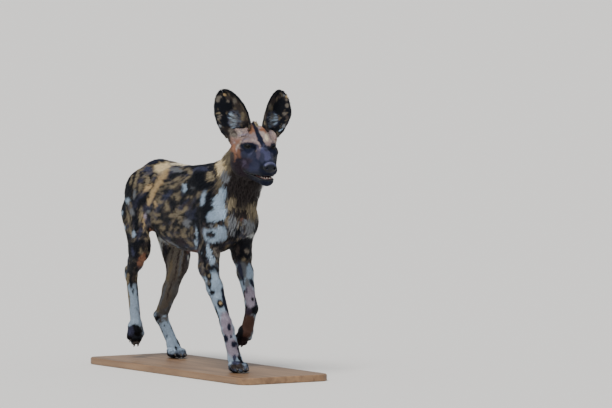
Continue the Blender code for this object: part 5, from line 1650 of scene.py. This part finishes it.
def coatLie(points, normals, masses, where):
    # the way the hair lies, its length, and the share of each part of the body at each point
    s = lieSizes
    weight = np.exp(-np.clip(trunkDistance(points), -0.012, 0.2) / s["trunkFade"])
    lie = np.tile(np.array(s["trunkLie"]), (len(points), 1)) * weight[:, None]
    hair = s["trunkHair"] * weight
    parts = {part: 0 * weight for part in ("neck", "head", "leg", "foot", "tail")}
    parts["body"] = weight.copy()
    for mass in masses:
        low, high = reach(mass, s["near"])
        near = np.all((points > low) & (points < high), 1)
        fade = s["neckFade"] if mass["part"] == "neck" else s["fade"]
        w = np.exp(-np.clip(distanceTo(mass, points[near]), -0.012, 0.2) / fade)
        lie[near] += mass["lie"] * w[:, None]
        hair[near] += mass["hair"] * w
        parts[mass["part"]][near] += w
        weight[near] += w
    hair /= weight
    onEar, inCup = where[:, 0] != 0, where[:, 3] > 0.5
    for side in (-1, 1):
        upward = earPoint(side, 0, 1.0, 0) - earPoint(side, 0, 0.2, 0)
        upward /= np.linalg.norm(upward)
        across = earPoint(side, 1, 0.5, 0) - earPoint(side, -1, 0.5, 0)
        across /= np.linalg.norm(across)
        mine = where[:, 0] == side
        lie[mine] = upward
        lie[mine & inCup] = upward * 0.5 + across * 0.9
    hair[onEar] = np.where(inCup[onEar], s["cupHair"], s["earBackHair"])
    tufted = np.exp(-((where[:, 1] + 0.25) / 0.26) ** 2 - ((where[:, 2] - 0.33) / 0.17) ** 2) * inCup
    hair = np.where(onEar, hair + s["cupTuftHair"] * tufted, hair)
    # the lie wanders a little, as in a real coat
    for k in range(3):
        noise = cloudAt(points, (s["wanderCell"],) * 3, 201 + k)
        lie[:, k] += s["wander"] * noise * np.linalg.norm(lie, axis=1)
    lie -= normals * (lie * normals).sum(1)[:, None]
    lie /= np.maximum(np.linalg.norm(lie, axis=1), 1e-9)[:, None]
    return lie, hair, {k: v / weight for k, v in parts.items()}


def bareParts(points, normals, colours):
    # the lids, lips, nose, inside of the mouth and soles: their tones, a painted sky reflection on the
    # nose's top, and where they are bare and wet
    bare = np.zeros(len(points))
    q = inHead(points)
    for side in (-1, 1):
        centre, axes = eyeFrame(side)
        local = (points - centre) @ axes
        rim = np.sqrt((local[:, 0] / (eyeSizes["lidHalfWidth"] + 0.0020)) ** 2
                      + (local[:, 2] / (eyeSizes["lidHalfHeight"] + 0.0018)) ** 2)
        nearEye = (np.abs(local[:, 1] + eyeSizes["radius"]) < 0.012)
        bare = np.maximum(bare, smoothStep(1.12, 0.95, rim) * nearEye)
    lips = np.minimum(*[pathDistance(points, [mouthPoint(t, way * (mouthGap(t) + 0.0022), 0.0020)
                                              for t in mouthSteps(41, 0.97)]) for way in (1, -1)])
    lips = smoothStep(0.0052, 0.0036, lips)
    inside = smoothStep(-0.0030, -0.0048, fieldAt(points, headMasses, False))
    inside = inside * (np.abs(q[:, 2] + 0.089) < 0.012) * (q[:, 1] < 0.03) * (q[:, 1] > -0.12)
    pad = (q - (0, -0.1130, -0.0590)) / (0.0260, 0.0150, 0.0190)
    nose = smoothStep(1.10, 0.98, np.sqrt((pad**2).sum(1)))
    soles = soleShare(points, normals)
    # painted reflection: the top of the nose, where it faces the sky, is tinted blue
    skyGlint = smoothStep(0.1, 0.8, normals[:, 2])
    colours = painted(colours, ("nose", bare), ("nose", lips), ("gum", inside), ("nose", nose),
                      ("paintedSkyBlue", nose * skyGlint * 0.75), ("nose", soles))
    bare = np.maximum.reduce([bare, lips, inside, nose])
    wet = np.maximum.reduce([nose * 0.8, lips * 0.7, inside, bare * 0.5])
    return colours, np.maximum(bare, soles), wet


def zonesOf(points, share, headShare, where, bare):
    y, left = points[:, 1], points[:, 0] > 0
    rear = y > lieSizes["rumpFrom"]
    low = share["leg"] + share["foot"] > 0.5
    face = inHead(points)[:, 1] < lieSizes["faceBefore"]
    zone = np.full(len(points), zoneNames.index("rightFlank"))
    for name, mine in (
        ("leftFlank", left), ("rightRump", rear & ~left), ("leftRump", rear & left),
        ("forelegs", low & (y < 0.12)), ("hindlegs", low & (y >= 0.12)), ("neck", share["neck"] > 0.45),
        ("crown", headShare > 0.5), ("face", (headShare > 0.5) & face), ("tail", share["tail"] > 0.45),
        ("rightEar", where[:, 0] == -1), ("leftEar", where[:, 0] == 1), ("bare", bare > 0.5),
    ):
        zone[mine] = zoneNames.index(name)
    return zone


def readSkin(made, masses):
    points, normals = verticesOf(made.data), normalsOf(made.data)
    where = earPlaces(points)
    onEar = where[:, 0] != 0
    lie, hair, share = coatLie(points, normals, masses, where)
    headShare = smoothStep(0.25, 0.55, share["head"])
    colours = tailColours(points, bodyColours(points), smoothStep(0.35, 0.6, share["tail"]))
    colours = blended(colours, headColours(points, colours), headShare)
    colours = addMarks(points, normals, earColours(points, colours, where))
    colours, bare, wet = bareParts(points, normals, colours)
    hair = hair * np.where(onEar, 1.0, 0.90 + 0.35 * cloudAt(points, (0.03,) * 3, 301))
    # shorter towards the nose
    muzzleShare = headShare * smoothStep(0.000, -0.060, inHead(points)[:, 1]) * ~onEar
    hair = hair * (1 - 0.35 * muzzleShare)
    zone = zonesOf(points, share, headShare, where, bare)
    return dict(colours=colours, lie=lie, hair=hair, zone=zone, bare=bare, wet=wet)


def soleShare(points, normals):
    share = np.zeros(len(points))
    for name in footSizes:
        origin, axes = footFrame(name)
        local = (points - origin) @ axes
        facing = normals @ axes
        near = (np.abs(local[:, 0]) < 0.036) & (local[:, 1] > -0.062) & (local[:, 1] < 0.024)
        under = near & (local[:, 2] < -footSizes[name][1] + 0.016)
        share = np.maximum(share, under * smoothStep(-0.45, -0.75, facing[:, 2]))
    return share


def store(mesh, name, kind, domain, values):
    layer = mesh.attributes.new(name, kind, domain)
    key = {"FLOAT": "value", "INT": "value", "FLOAT_VECTOR": "vector", "FLOAT_COLOR": "color"}[kind]
    number = np.int32 if kind == "INT" else np.float32
    layer.data.foreach_set(key, np.ascontiguousarray(values, number).ravel())


unwrapSizes = {"margin": 0.005, "widest": 1.75, "wider": 1.04}


def skinUnwrap(mesh, zone):
    # a chart for each zone and each way that its faces look, laid out side by side at one scale
    polygons = mesh.polygons
    count = len(polygons)
    normals = np.zeros(count * 3, np.float32)
    polygons.foreach_get("normal", normals)
    normals = normals.reshape(-1, 3)
    starts = np.zeros(count, np.int32)
    totals = np.zeros(count, np.int32)
    polygons.foreach_get("loop_start", starts)
    polygons.foreach_get("loop_total", totals)
    corners = np.zeros(len(mesh.loops), np.int32)
    mesh.loops.foreach_get("vertex_index", corners)
    axis = np.abs(normals).argmax(1)
    sign = normals[np.arange(count), axis] > 0
    faceZone = zone[corners[starts]]
    owner = np.repeat(faceZone * 6 + axis * 2 + sign, totals)
    flatAxis = np.repeat(axis, totals)
    p = verticesOf(mesh)[corners]
    u = np.where(flatAxis == 0, p[:, 1], p[:, 0])
    v = np.where(flatAxis == 2, p[:, 1], p[:, 2])
    margin = unwrapSizes["margin"]
    names = np.unique(owner)
    sizes = {}
    for k in names:
        mine = owner == k
        sizes[k] = (u[mine].min(), v[mine].min(), np.ptp(u[mine]) + 2 * margin, np.ptp(v[mine]) + 2 * margin)
    order = sorted(names, key=lambda k: -sizes[k][3])
    widest = unwrapSizes["widest"]
    while True:
        place, x, y, rowHigh = {}, 0.0, 0.0, 0.0
        for k in order:
            if x + sizes[k][2] > widest:
                x, y, rowHigh = 0.0, y + rowHigh, 0.0
            place[k] = (x, y)
            x += sizes[k][2]
            rowHigh = max(rowHigh, sizes[k][3])
        if y + rowHigh <= widest:
            break
        widest *= unwrapSizes["wider"]
    uv = np.zeros((len(owner), 2))
    for k in names:
        mine = owner == k
        uv[mine, 0] = (u[mine] - sizes[k][0] + margin + place[k][0]) / widest
        uv[mine, 1] = (v[mine] - sizes[k][1] + margin + place[k][1]) / widest
    layer = mesh.uv_layers.new(name="skinUv")
    layer.data.foreach_set("uv", uv.astype(np.float32).ravel())
    return faceZone


def wearColours(made, read):
    mesh = made.data
    tones = np.concatenate((read["colours"], np.ones((len(read["colours"]), 1))), 1)
    store(mesh, "coatColour", "FLOAT_COLOR", "POINT", tones)
    store(mesh, "lie", "FLOAT_VECTOR", "POINT", read["lie"])
    for name in ("hair", "bare", "wet"):
        store(mesh, name, "FLOAT", "POINT", read[name])
    store(mesh, "zone", "INT", "FACE", skinUnwrap(mesh, read["zone"]))


wearColours(skin, readSkin(skin, allMasses))
print("markings and lie of the coat")

# Materials of the skin and coat

finishSizes = {
    "skinRoughness": 0.62,
    "wetRoughness": 0.25,
    "skinSpecular": 0.22,
    "streakScale": (420.0, 150.0, 260.0),
    "streakShade": (0.55, 1.05),
    "streakBump": 0.35,
    "noseScale": 900.0,
    "coatRoughness": 0.58,
    "coatSpecular": 0.14,
    "coatRoot": 0.66,
    "grainScale": (900, 500, 700),
    "grainShade": (0.82, 1.12),
    "grainBump": 0.25,
}


def addNode(tree, kind, inputs=None, **settings):
    node = tree.nodes.new(kind)
    for key, value in settings.items():
        setattr(node, key, value)
    for key, value in (inputs or {}).items():
        if isinstance(value, bpy.types.NodeSocket):
            tree.links.new(value, node.inputs[key])
        else:
            node.inputs[key].default_value = value
    return node


def attribute(tree, name, socket="Fac"):
    return addNode(tree, "ShaderNodeAttribute", attribute_name=name).outputs[socket]


def objectNoise(tree, scale, detail, distortion=0.0):
    place = addNode(tree, "ShaderNodeTexCoord").outputs["Object"]
    spread = addNode(tree, "ShaderNodeMapping", {"Vector": place, "Scale": scale}).outputs["Vector"]
    return addNode(tree, "ShaderNodeTexNoise", {"Vector": spread, "Scale": 1.0, "Detail": detail,
                                                "Distortion": distortion}).outputs["Fac"]


def ranged(tree, value, before, after):
    return addNode(tree, "ShaderNodeMapRange", {"Value": value, "From Min": before[0], "From Max": before[1],
                                                "To Min": after[0], "To Max": after[1]}).outputs["Result"]


def shadeBy(tree, shader, tone, shade):
    both = addNode(tree, "ShaderNodeMix", {6: tone, 7: shade, 0: 1.0},
                   data_type="RGBA", blend_type="MULTIPLY")
    tree.links.new(both.outputs[2], shader.inputs["Base Color"])


def bumpBy(tree, shader, height, strength, depth):
    bump = addNode(tree, "ShaderNodeBump", {"Height": height, "Strength": strength, "Distance": depth})
    tree.links.new(bump.outputs["Normal"], shader.inputs["Normal"])


def skinMaterial():
    s = finishSizes
    material, tree, shader = plainMaterial("skinUnderFur", (0.1, 0.08, 0.06, 1), s["skinRoughness"])
    wet = attribute(tree, "wet")
    # the skin under the coat takes the coat's colours in streaks of hair, darker on the whole: painted shade
    # between the tufts
    streak = objectNoise(tree, s["streakScale"], 3.0)
    shadeBy(tree, shader, attribute(tree, "coatColour", "Color"),
            ranged(tree, streak, (0.3, 0.7), s["streakShade"]))
    place = addNode(tree, "ShaderNodeTexCoord").outputs["Object"]
    pebble = addNode(tree, "ShaderNodeTexVoronoi", {"Vector": place, "Scale": s["noseScale"]})
    pebble = pebble.outputs["Distance"]
    relief = addNode(tree, "ShaderNodeMix", {0: wet, 2: streak, 3: pebble}, data_type="FLOAT")
    bumpBy(tree, shader, relief.outputs[0], s["streakBump"], 0.0012)
    rough = ranged(tree, wet, (0.0, 1.0), (s["skinRoughness"], s["wetRoughness"]))
    tree.links.new(rough, shader.inputs["Roughness"])
    shader.inputs["Specular IOR Level"].default_value = s["skinSpecular"]
    return material


def coatMaterial():
    s = finishSizes
    material, tree, shader = plainMaterial("fur", (0.1, 0.08, 0.06, 1), s["coatRoughness"])
    fromRoot = ranged(tree, attribute(tree, "along"), (0.0, 0.8), (s["coatRoot"], 1.0))
    grain = objectNoise(tree, s["grainScale"], 2.0)
    varied = ranged(tree, grain, (0.3, 0.7), s["grainShade"])
    shade = attribute(tree, "tuftShade")
    for factor in (fromRoot, varied):
        shade = addNode(tree, "ShaderNodeMath", {0: factor, 1: shade}, operation="MULTIPLY").outputs[0]
    shadeBy(tree, shader, attribute(tree, "coatColour", "Color"), shade)
    bumpBy(tree, shader, grain, s["grainBump"], 0.0006)
    shader.inputs["Specular IOR Level"].default_value = s["coatSpecular"]
    return material


skinFinish = skinMaterial()
furFinish = coatMaterial()
skin.data.materials.clear()
skin.data.materials.append(skinFinish)
skin.name = "skin"

# Tufts

coatSizes = {
    # zone: tufts on each square centimetre at a 10 mm length, width at 10 mm, lift as a share of the length
    "face": (36, 0.0023, 0.14, "fine"),
    "crown": (20, 0.0022, 0.20, "short"),
    "neck": (6.5, 0.0023, 0.20, "long"),
    "rightFlank": (16, 0.0022, 0.20, "short"),
    "leftFlank": (16, 0.0022, 0.20, "short"),
    "rightRump": (15, 0.0022, 0.20, "short"),
    "leftRump": (15, 0.0022, 0.20, "short"),
    "forelegs": (24, 0.0022, 0.18, "fine"),
    "hindlegs": (22, 0.0022, 0.18, "fine"),
    "rightEar": (36, 0.0019, 0.18, "fine"),
    "leftEar": (36, 0.0019, 0.18, "fine"),
    "tail": (90, 0.0011, 0.26, "long"),
}
growthSizes = {
    "fullLength": 0.010,
    "crowding": 1.3,
    "slimming": 0.6,
    "lengths": (0.72, 1.22),
    "lifts": (0.6, 1.25),
    "shades": (0.84, 1.14),
    "turn": 0.24,
    "fray": 0.20,
    "earFray": 0.12,
    "colourAhead": 0.6,
    "uvPatch": 0.003,
    "firstSeed": 40,
}
tuftShapes = {
    "fine": ((-0.06, 1.0, -0.35), (1.0, 0.0, 0.80)),
    "short": ((-0.10, 0.62, -0.45), (0.45, 1.0, 0.55), (1.0, 0.0, 0.70)),
    "long": ((-0.06, 0.60, -0.30), (0.34, 1.0, 0.55), (0.72, 0.70, 0.92), (1.0, 0.0, 0.86)),
}


def tuft(name, shape, bend):
    # a closed tapered lock: a flat triangle across, bent up from its root and sideways to its tip
    # the shape's rows are the place along it, the width and the height
    points, along = [], []
    for at, wide, high in tuftShapes[shape]:
        side = bend * at * at
        if wide == 0.0:
            points.append((side, at, high))
            along.append(at)
            continue
        points += [(side - wide / 2, at, high), (side + wide / 2, at, high)]
        points.append((side + 0.1 * wide, at, high + 0.16 * wide))
        along += [at] * 3
    tip = len(points) - 1
    faces = [(0, 1, 2)]
    for ring in range(0, tip - 3, 3):
        for k in range(3):
            j = (k + 1) % 3
            faces.append((ring + j, ring + k, ring + 3 + k, ring + 3 + j))
    last = tip - 3
    for k in range(3):
        faces.append((last + (k + 1) % 3, last + k, tip))
    made = outwards(meshOf(name, points, faces))
    made.data.shade_smooth()
    store(made.data, "along", "FLOAT", "POINT", along)
    store(made.data, "tuftAt", "FLOAT_VECTOR", "POINT", [(p[0] * 0.5, p[1] - 0.5, 0.0) for p in points])
    return made


# How far the tips of a group's tufts bend aside, as a share of the length
tuftBends = (-0.7, -0.25, 0.2, 0.65)


def tuftGroup(shape):
    group = bpy.data.collections.new(shape + "Tufts")
    for k, bend in enumerate(tuftBends):
        made = tuft(f"{shape}Tuft{k}", shape, bend)
        bpy.context.scene.collection.objects.unlink(made)
        group.objects.link(made)
    return group


def socketOf(sockets, name):
    # the socket of that name that the node's present setting shows
    return next(socket for socket in sockets if socket.name == name and socket.enabled)


def coatTree():
    g = growthSizes
    tree = bpy.data.node_groups.new("coatTufts", "GeometryNodeTree")
    ids = {}
    for name, kind in (("Geometry", "Geometry"), ("Tufts", "Collection"), ("Zone", "Int"),
                       ("Density", "Float"), ("Width", "Float"), ("Lift", "Float"), ("Turn", "Float"),
                       ("Fray", "Float"), ("Seed", "Int"), ("Material", "Material")):
        socket = tree.interface.new_socket(name=name, in_out="INPUT", socket_type="NodeSocket" + kind)
        ids[name] = socket.identifier
    tree.interface.new_socket(name="Geometry", in_out="OUTPUT", socket_type="NodeSocketGeometry")
    given = tree.nodes.new("NodeGroupInput").outputs
    result = tree.nodes.new("NodeGroupOutput")

    def named(name, kind="FLOAT"):
        node = addNode(tree, "GeometryNodeInputNamedAttribute", {"Name": name}, data_type=kind)
        return socketOf(node.outputs, "Attribute")

    def stored(geometry, name, kind, domain, value):
        node = addNode(tree, "GeometryNodeStoreNamedAttribute", {"Geometry": geometry, "Name": name},
                       data_type=kind, domain=domain)
        tree.links.new(value, socketOf(node.inputs, "Value"))
        return node.outputs[0]

    def maths(operation, a, b):
        return addNode(tree, "ShaderNodeMath", {0: a, 1: b}, operation=operation).outputs[0]

    def vectors(operation, a, b):
        second = "Scale" if operation == "SCALE" else 1
        return addNode(tree, "ShaderNodeVectorMath", {0: a, second: b}, operation=operation).outputs[0]

    def randomFrom(low, high, add, kind="FLOAT"):
        first = {"FLOAT_VECTOR": 0, "FLOAT": 2, "INT": 4}[kind]
        node = addNode(tree, "FunctionNodeRandomValue", {first: low, first + 1: high}, data_type=kind)
        tree.links.new(maths("ADD", given["Seed"], add), node.inputs["Seed"])
        return node.outputs[first // 2]

    onZone = addNode(tree, "FunctionNodeCompare", {2: named("zone", "INT"), 3: given["Zone"]},
                     data_type="INT", operation="EQUAL").outputs[0]
    # the shorter the hair, the closer the tufts stand
    shorter = maths("DIVIDE", g["fullLength"], named("hair"))
    dense = maths("MULTIPLY", maths("POWER", shorter, g["crowding"]), given["Density"])
    spread = addNode(tree, "GeometryNodeDistributePointsOnFaces",
                     {"Mesh": given["Geometry"], "Selection": onZone, "Density": dense,
                      "Seed": given["Seed"]}, distribute_method="RANDOM")
    upright = spread.outputs["Normal"]
    swing = maths("MULTIPLY", randomFrom(-1.0, 1.0, 1), given["Turn"])
    comb = addNode(tree, "ShaderNodeVectorRotate",
                   {"Vector": named("lie", "FLOAT_VECTOR"), "Axis": upright, "Angle": swing}).outputs[0]
    facing = addNode(tree, "FunctionNodeAxesToRotation", {"Primary Axis": comb, "Secondary Axis": upright},
                     primary_axis="Y", secondary_axis="Z").outputs[0]
    length = maths("MULTIPLY", named("hair"), randomFrom(*g["lengths"], 2))
    slim = maths("POWER", maths("MULTIPLY", length, 1 / g["fullLength"]), g["slimming"])
    width = maths("MULTIPLY", slim, given["Width"])
    lift = maths("MULTIPLY", maths("MULTIPLY", length, given["Lift"]), randomFrom(*g["lifts"], 3))
    scale = addNode(tree, "ShaderNodeCombineXYZ", {0: width, 1: length, 2: lift})
    shaded = stored(spread.outputs["Points"], "tuftShade", "FLOAT", "POINT", randomFrom(*g["shades"], 4))
    # each tuft takes its colour from under its tip, and from a little way off, which frays the marks' edges
    away = randomFrom((-1.0, -1.0, -1.0), (1.0, 1.0, 1.0), 6, "FLOAT_VECTOR")
    offset = vectors("SCALE", away, maths("MULTIPLY", named("hair"), given["Fray"]))
    ahead = vectors("SCALE", comb, maths("MULTIPLY", length, g["colourAhead"]))
    moved = vectors("ADD", ahead, offset)
    spot = vectors("ADD", addNode(tree, "GeometryNodeInputPosition").outputs[0], moved)
    seen = addNode(tree, "GeometryNodeSampleNearestSurface",
                   {"Mesh": given["Geometry"], "Sample Position": spot}, data_type="FLOAT_COLOR")
    tree.links.new(named("coatColour", "FLOAT_COLOR"), socketOf(seen.inputs, "Value"))
    toned = stored(shaded, "coatColour", "FLOAT_COLOR", "POINT", socketOf(seen.outputs, "Value"))
    group = addNode(tree, "GeometryNodeCollectionInfo",
                    {"Collection": given["Tufts"], "Separate Children": True,
                     "Reset Children": True}).outputs[0]
    pick = randomFrom(0, len(tuftBends) - 1, 5, "INT")
    placed = addNode(tree, "GeometryNodeInstanceOnPoints",
                     {"Points": toned, "Instance": group, "Pick Instance": True, "Instance Index": pick,
                      "Rotation": facing, "Scale": scale.outputs[0]})
    real = addNode(tree, "GeometryNodeRealizeInstances", {"Geometry": placed.outputs[0]}).outputs[0]
    # a small patch of the map for each tuft, round its root's place on the skin's map
    patch = vectors("MULTIPLY", named("tuftAt", "FLOAT_VECTOR"), (g["uvPatch"], g["uvPatch"], 0.0))
    where = vectors("ADD", named("skinUv", "FLOAT_VECTOR"), patch)
    mapped = stored(real, "OFBake", "FLOAT2", "CORNER", where)
    done = addNode(tree, "GeometryNodeSetMaterial", {"Geometry": mapped, "Material": given["Material"]})
    tree.links.new(done.outputs[0], result.inputs[0])
    return tree, ids


def growCoat():
    tree, ids = coatTree()
    groups = {shape: tuftGroup(shape) for shape in tuftShapes}
    total = 0
    for k, (zone, (density, width, lift, shape)) in enumerate(coatSizes.items()):
        made = linked("coat_" + zone, skin.data)
        grown = made.modifiers.new("tufts", "NODES")
        grown.node_group = tree
        fray = growthSizes["earFray" if "Ear" in zone else "fray"]
        for name, value in (
            ("Tufts", groups[shape]), ("Zone", zoneNames.index(zone)), ("Density", density * 10000.0),
            ("Width", width), ("Lift", lift), ("Turn", growthSizes["turn"]), ("Fray", fray),
            ("Seed", growthSizes["firstSeed"] + k), ("Material", furFinish),
        ):
            grown[ids[name]] = value
        evaluated(made)
        for name in ("lie", "hair", "bare", "wet", "zone", "tuftAt", "skinUv"):
            layer = made.data.attributes.get(name)
            if layer:
                made.data.attributes.remove(layer)
        count = sum(len(f.vertices) - 2 for f in made.data.polygons)
        total += count
        print("  coat", zone, count, "triangles")
        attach(made, "root")
    print("coat", total, "triangles")


growCoat()

# Eyes

eyeFinish = {
    "ring": (
        (0.0, (0.002, 0.002, 0.002, 1)),
        (0.38, (0.002, 0.002, 0.002, 1)),
        (0.44, (0.006, 0.005, 0.003, 1)),
        (0.70, (0.012, 0.009, 0.005, 1)),
        (0.84, (0.003, 0.003, 0.003, 1)),
        (0.96, (0.005, 0.004, 0.005, 1)),
    ),
    "irisAngle": 56.0,
    "corneaAngle": 38.0,
    "roughness": 0.06,
    "specular": 0.16,
}


def addEye(side, word):
    centre, axes = eyeFrame(side)
    made = ball("eyeball_" + word, centre, [eyeSizes["radius"]] * 3, axes, 40, 56)
    points = verticesOf(made.data)
    local = (points - centre) @ axes
    angle = np.degrees(np.arccos(np.clip(-local[:, 1] / eyeSizes["radius"], -1, 1)))
    rise = eyeSizes["corneaRise"] * smoothStep(eyeFinish["corneaAngle"], 0.0, angle)
    points = points + (points - centre) / eyeSizes["radius"] * rise[:, None]
    made.data.vertices.foreach_set("co", points.ravel())
    store(made.data, "gaze", "FLOAT", "POINT", angle / eyeFinish["irisAngle"])
    made.data.shade_smooth()
    material, tree, shader = plainMaterial("eye_" + word, (0.02, 0.012, 0.008, 1), eyeFinish["roughness"])
    ramp = addNode(tree, "ShaderNodeValToRGB", {"Fac": attribute(tree, "gaze")})
    stops = ramp.color_ramp.elements
    while len(stops) < len(eyeFinish["ring"]):
        stops.new(0.5)
    for stop, (place, colour) in zip(stops, eyeFinish["ring"]):
        stop.position = place
        stop.color = colour
    tree.links.new(ramp.outputs["Color"], shader.inputs["Base Color"])
    shader.inputs["Specular IOR Level"].default_value = eyeFinish["specular"]
    made.data.materials.append(material)
    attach(made, "root")
    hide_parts("eye_" + word)


for side, word in ((-1, "right"), (1, "left")):
    addEye(side, word)
print("eyes")

# Teeth and tongue

toothSizes = {
    "reach": 0.34,
    "low": 0.95,
    "tall": 1.30,
    "canineTall": 1.7,
    "wide": 0.0016,
    "canineWide": 0.0019,
    "sides": 8,
    "rings": ((0.0, 1.0), (0.45, 1.05), (0.8, 0.7)),
}
mouthFinish = {
    "gum": ((0.30, 0.12, 0.11, 1), 0.3),
    "tooth": ((0.84, 0.79, 0.70, 1), 0.25),
    "tongue": ((0.60, 0.32, 0.30, 1), 0.3),
}


def standingTooth(root, tall, wide, work):
    sides = toothSizes["sides"]
    angles = [2 * math.pi * k / sides for k in range(sides)]
    ways = [Vector((math.cos(a), math.sin(a), 0)) for a in angles]
    rings = []
    for along, size in toothSizes["rings"]:
        middle = root + headUp * tall * along
        rings.append([work.verts.new(middle + out * wide * size) for out in ways])
    tip = work.verts.new(root + headUp * tall)
    for near, far in zip(rings, rings[1:]):
        for k in range(sides):
            work.faces.new((near[k], near[(k + 1) % sides], far[(k + 1) % sides], far[k]))
    for k in range(sides):
        work.faces.new((rings[-1][k], rings[-1][(k + 1) % sides], tip))
    work.faces.new(rings[0][::-1])


def addTeeth():
    def low(t):
        return Vector(mouthPoint(t, -mouthGap(t) * toothSizes["low"], mouthSizes["teethInward"]))

    steps = mouthSteps(31, 0.60)
    gum = tube("gum_lower", [low(t) for t in steps], [mouthSizes["gum"]] * len(steps), 10, headUp)
    work = bmesh.new()
    last = mouthSizes["teeth"] - 1
    for k in range(mouthSizes["teeth"]):
        t = toothSizes["reach"] * (-1 + 2 * k / last)
        kind = ("canineTall", "canineWide") if k in (0, last) else ("tall", "wide")
        standingTooth(low(t), mouthGap(t) * toothSizes[kind[0]], toothSizes[kind[1]], work)
    teeth = closedMesh("teeth_row", work)
    tongue = ball("tongue", onHead(0.0, -0.062, -0.0935), (0.0135, 0.024, 0.0030), headTurn, 20, 32)
    for made, finish in ((gum, "gum"), (teeth, "tooth"), (tongue, "tongue")):
        made.data.shade_smooth()
        made.data.materials.append(plainMaterial(finish, *mouthFinish[finish])[0])
        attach(made, "root")
    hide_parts("teeth_lower")


addTeeth()
print("teeth and tongue")

# Claws

# A claw's path from its root: how far ahead of the toe and above the sole, and how far its tip turns out
clawSizes = {
    "path": ((0.0100, 0.0150, 1.0), (0.0185, 0.0140, 1.0), (0.0228, 0.0115, 1.01), (0.0256, 0.0078, 1.02)),
    "radii": (0.0044, 0.0036, 0.0024, 0.0009),
    "sides": 10,
    "colour": (0.035, 0.030, 0.028, 1),
    "roughness": 0.35,
}


def addClaws():
    work = bmesh.new()
    for name in footSizes:
        origin, axes = footFrame(name)
        sole = -footSizes[name][1]
        for side, ahead in toeSpread:
            path = [origin + axes @ np.array((side * out, -ahead - far, sole + high))
                    for far, high, out in clawSizes["path"]]
            one = tube("claw", path, clawSizes["radii"], clawSizes["sides"], axes[:, 0])
            work.from_mesh(one.data)
            bpy.data.meshes.remove(one.data)
    claws = meshFrom("claws", work)
    claws.data.shade_smooth()
    claws.data.materials.append(plainMaterial("claw", clawSizes["colour"], clawSizes["roughness"])[0])
    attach(claws, "root")


addClaws()
print("claws")

# Display base

woodFinish = {
    "colour": (0.30, 0.19, 0.11, 1),
    "roughness": 0.42,
    "grain": (38.0, 2.2, 38.0),
    "ramp": ((0.30, (0.130, 0.070, 0.036, 1)), (0.72, (0.300, 0.180, 0.095, 1))),
    "bump": 0.15,
}


def finishBase():
    base = frame["nodes"]["stand_base"]
    material, tree, shader = plainMaterial("oiledWood", woodFinish["colour"], woodFinish["roughness"])
    rings = objectNoise(tree, woodFinish["grain"], 5.0, 0.6)
    ramp = addNode(tree, "ShaderNodeValToRGB", {"Fac": rings})
    for stop, (place, colour) in zip(ramp.color_ramp.elements, woodFinish["ramp"]):
        stop.position = place
        stop.color = colour
    tree.links.new(ramp.outputs["Color"], shader.inputs["Base Color"])
    bumpBy(tree, shader, rings, woodFinish["bump"], 0.001)
    base.data.materials.clear()
    base.data.materials.append(material)


finishBase()
print("base")

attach(skin, "root")
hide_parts(*[n for n in frame["nodes"] if n.split("_")[0] in
                    ("torso", "neck", "head", "ear", "tail", "foreleg", "hindleg")])
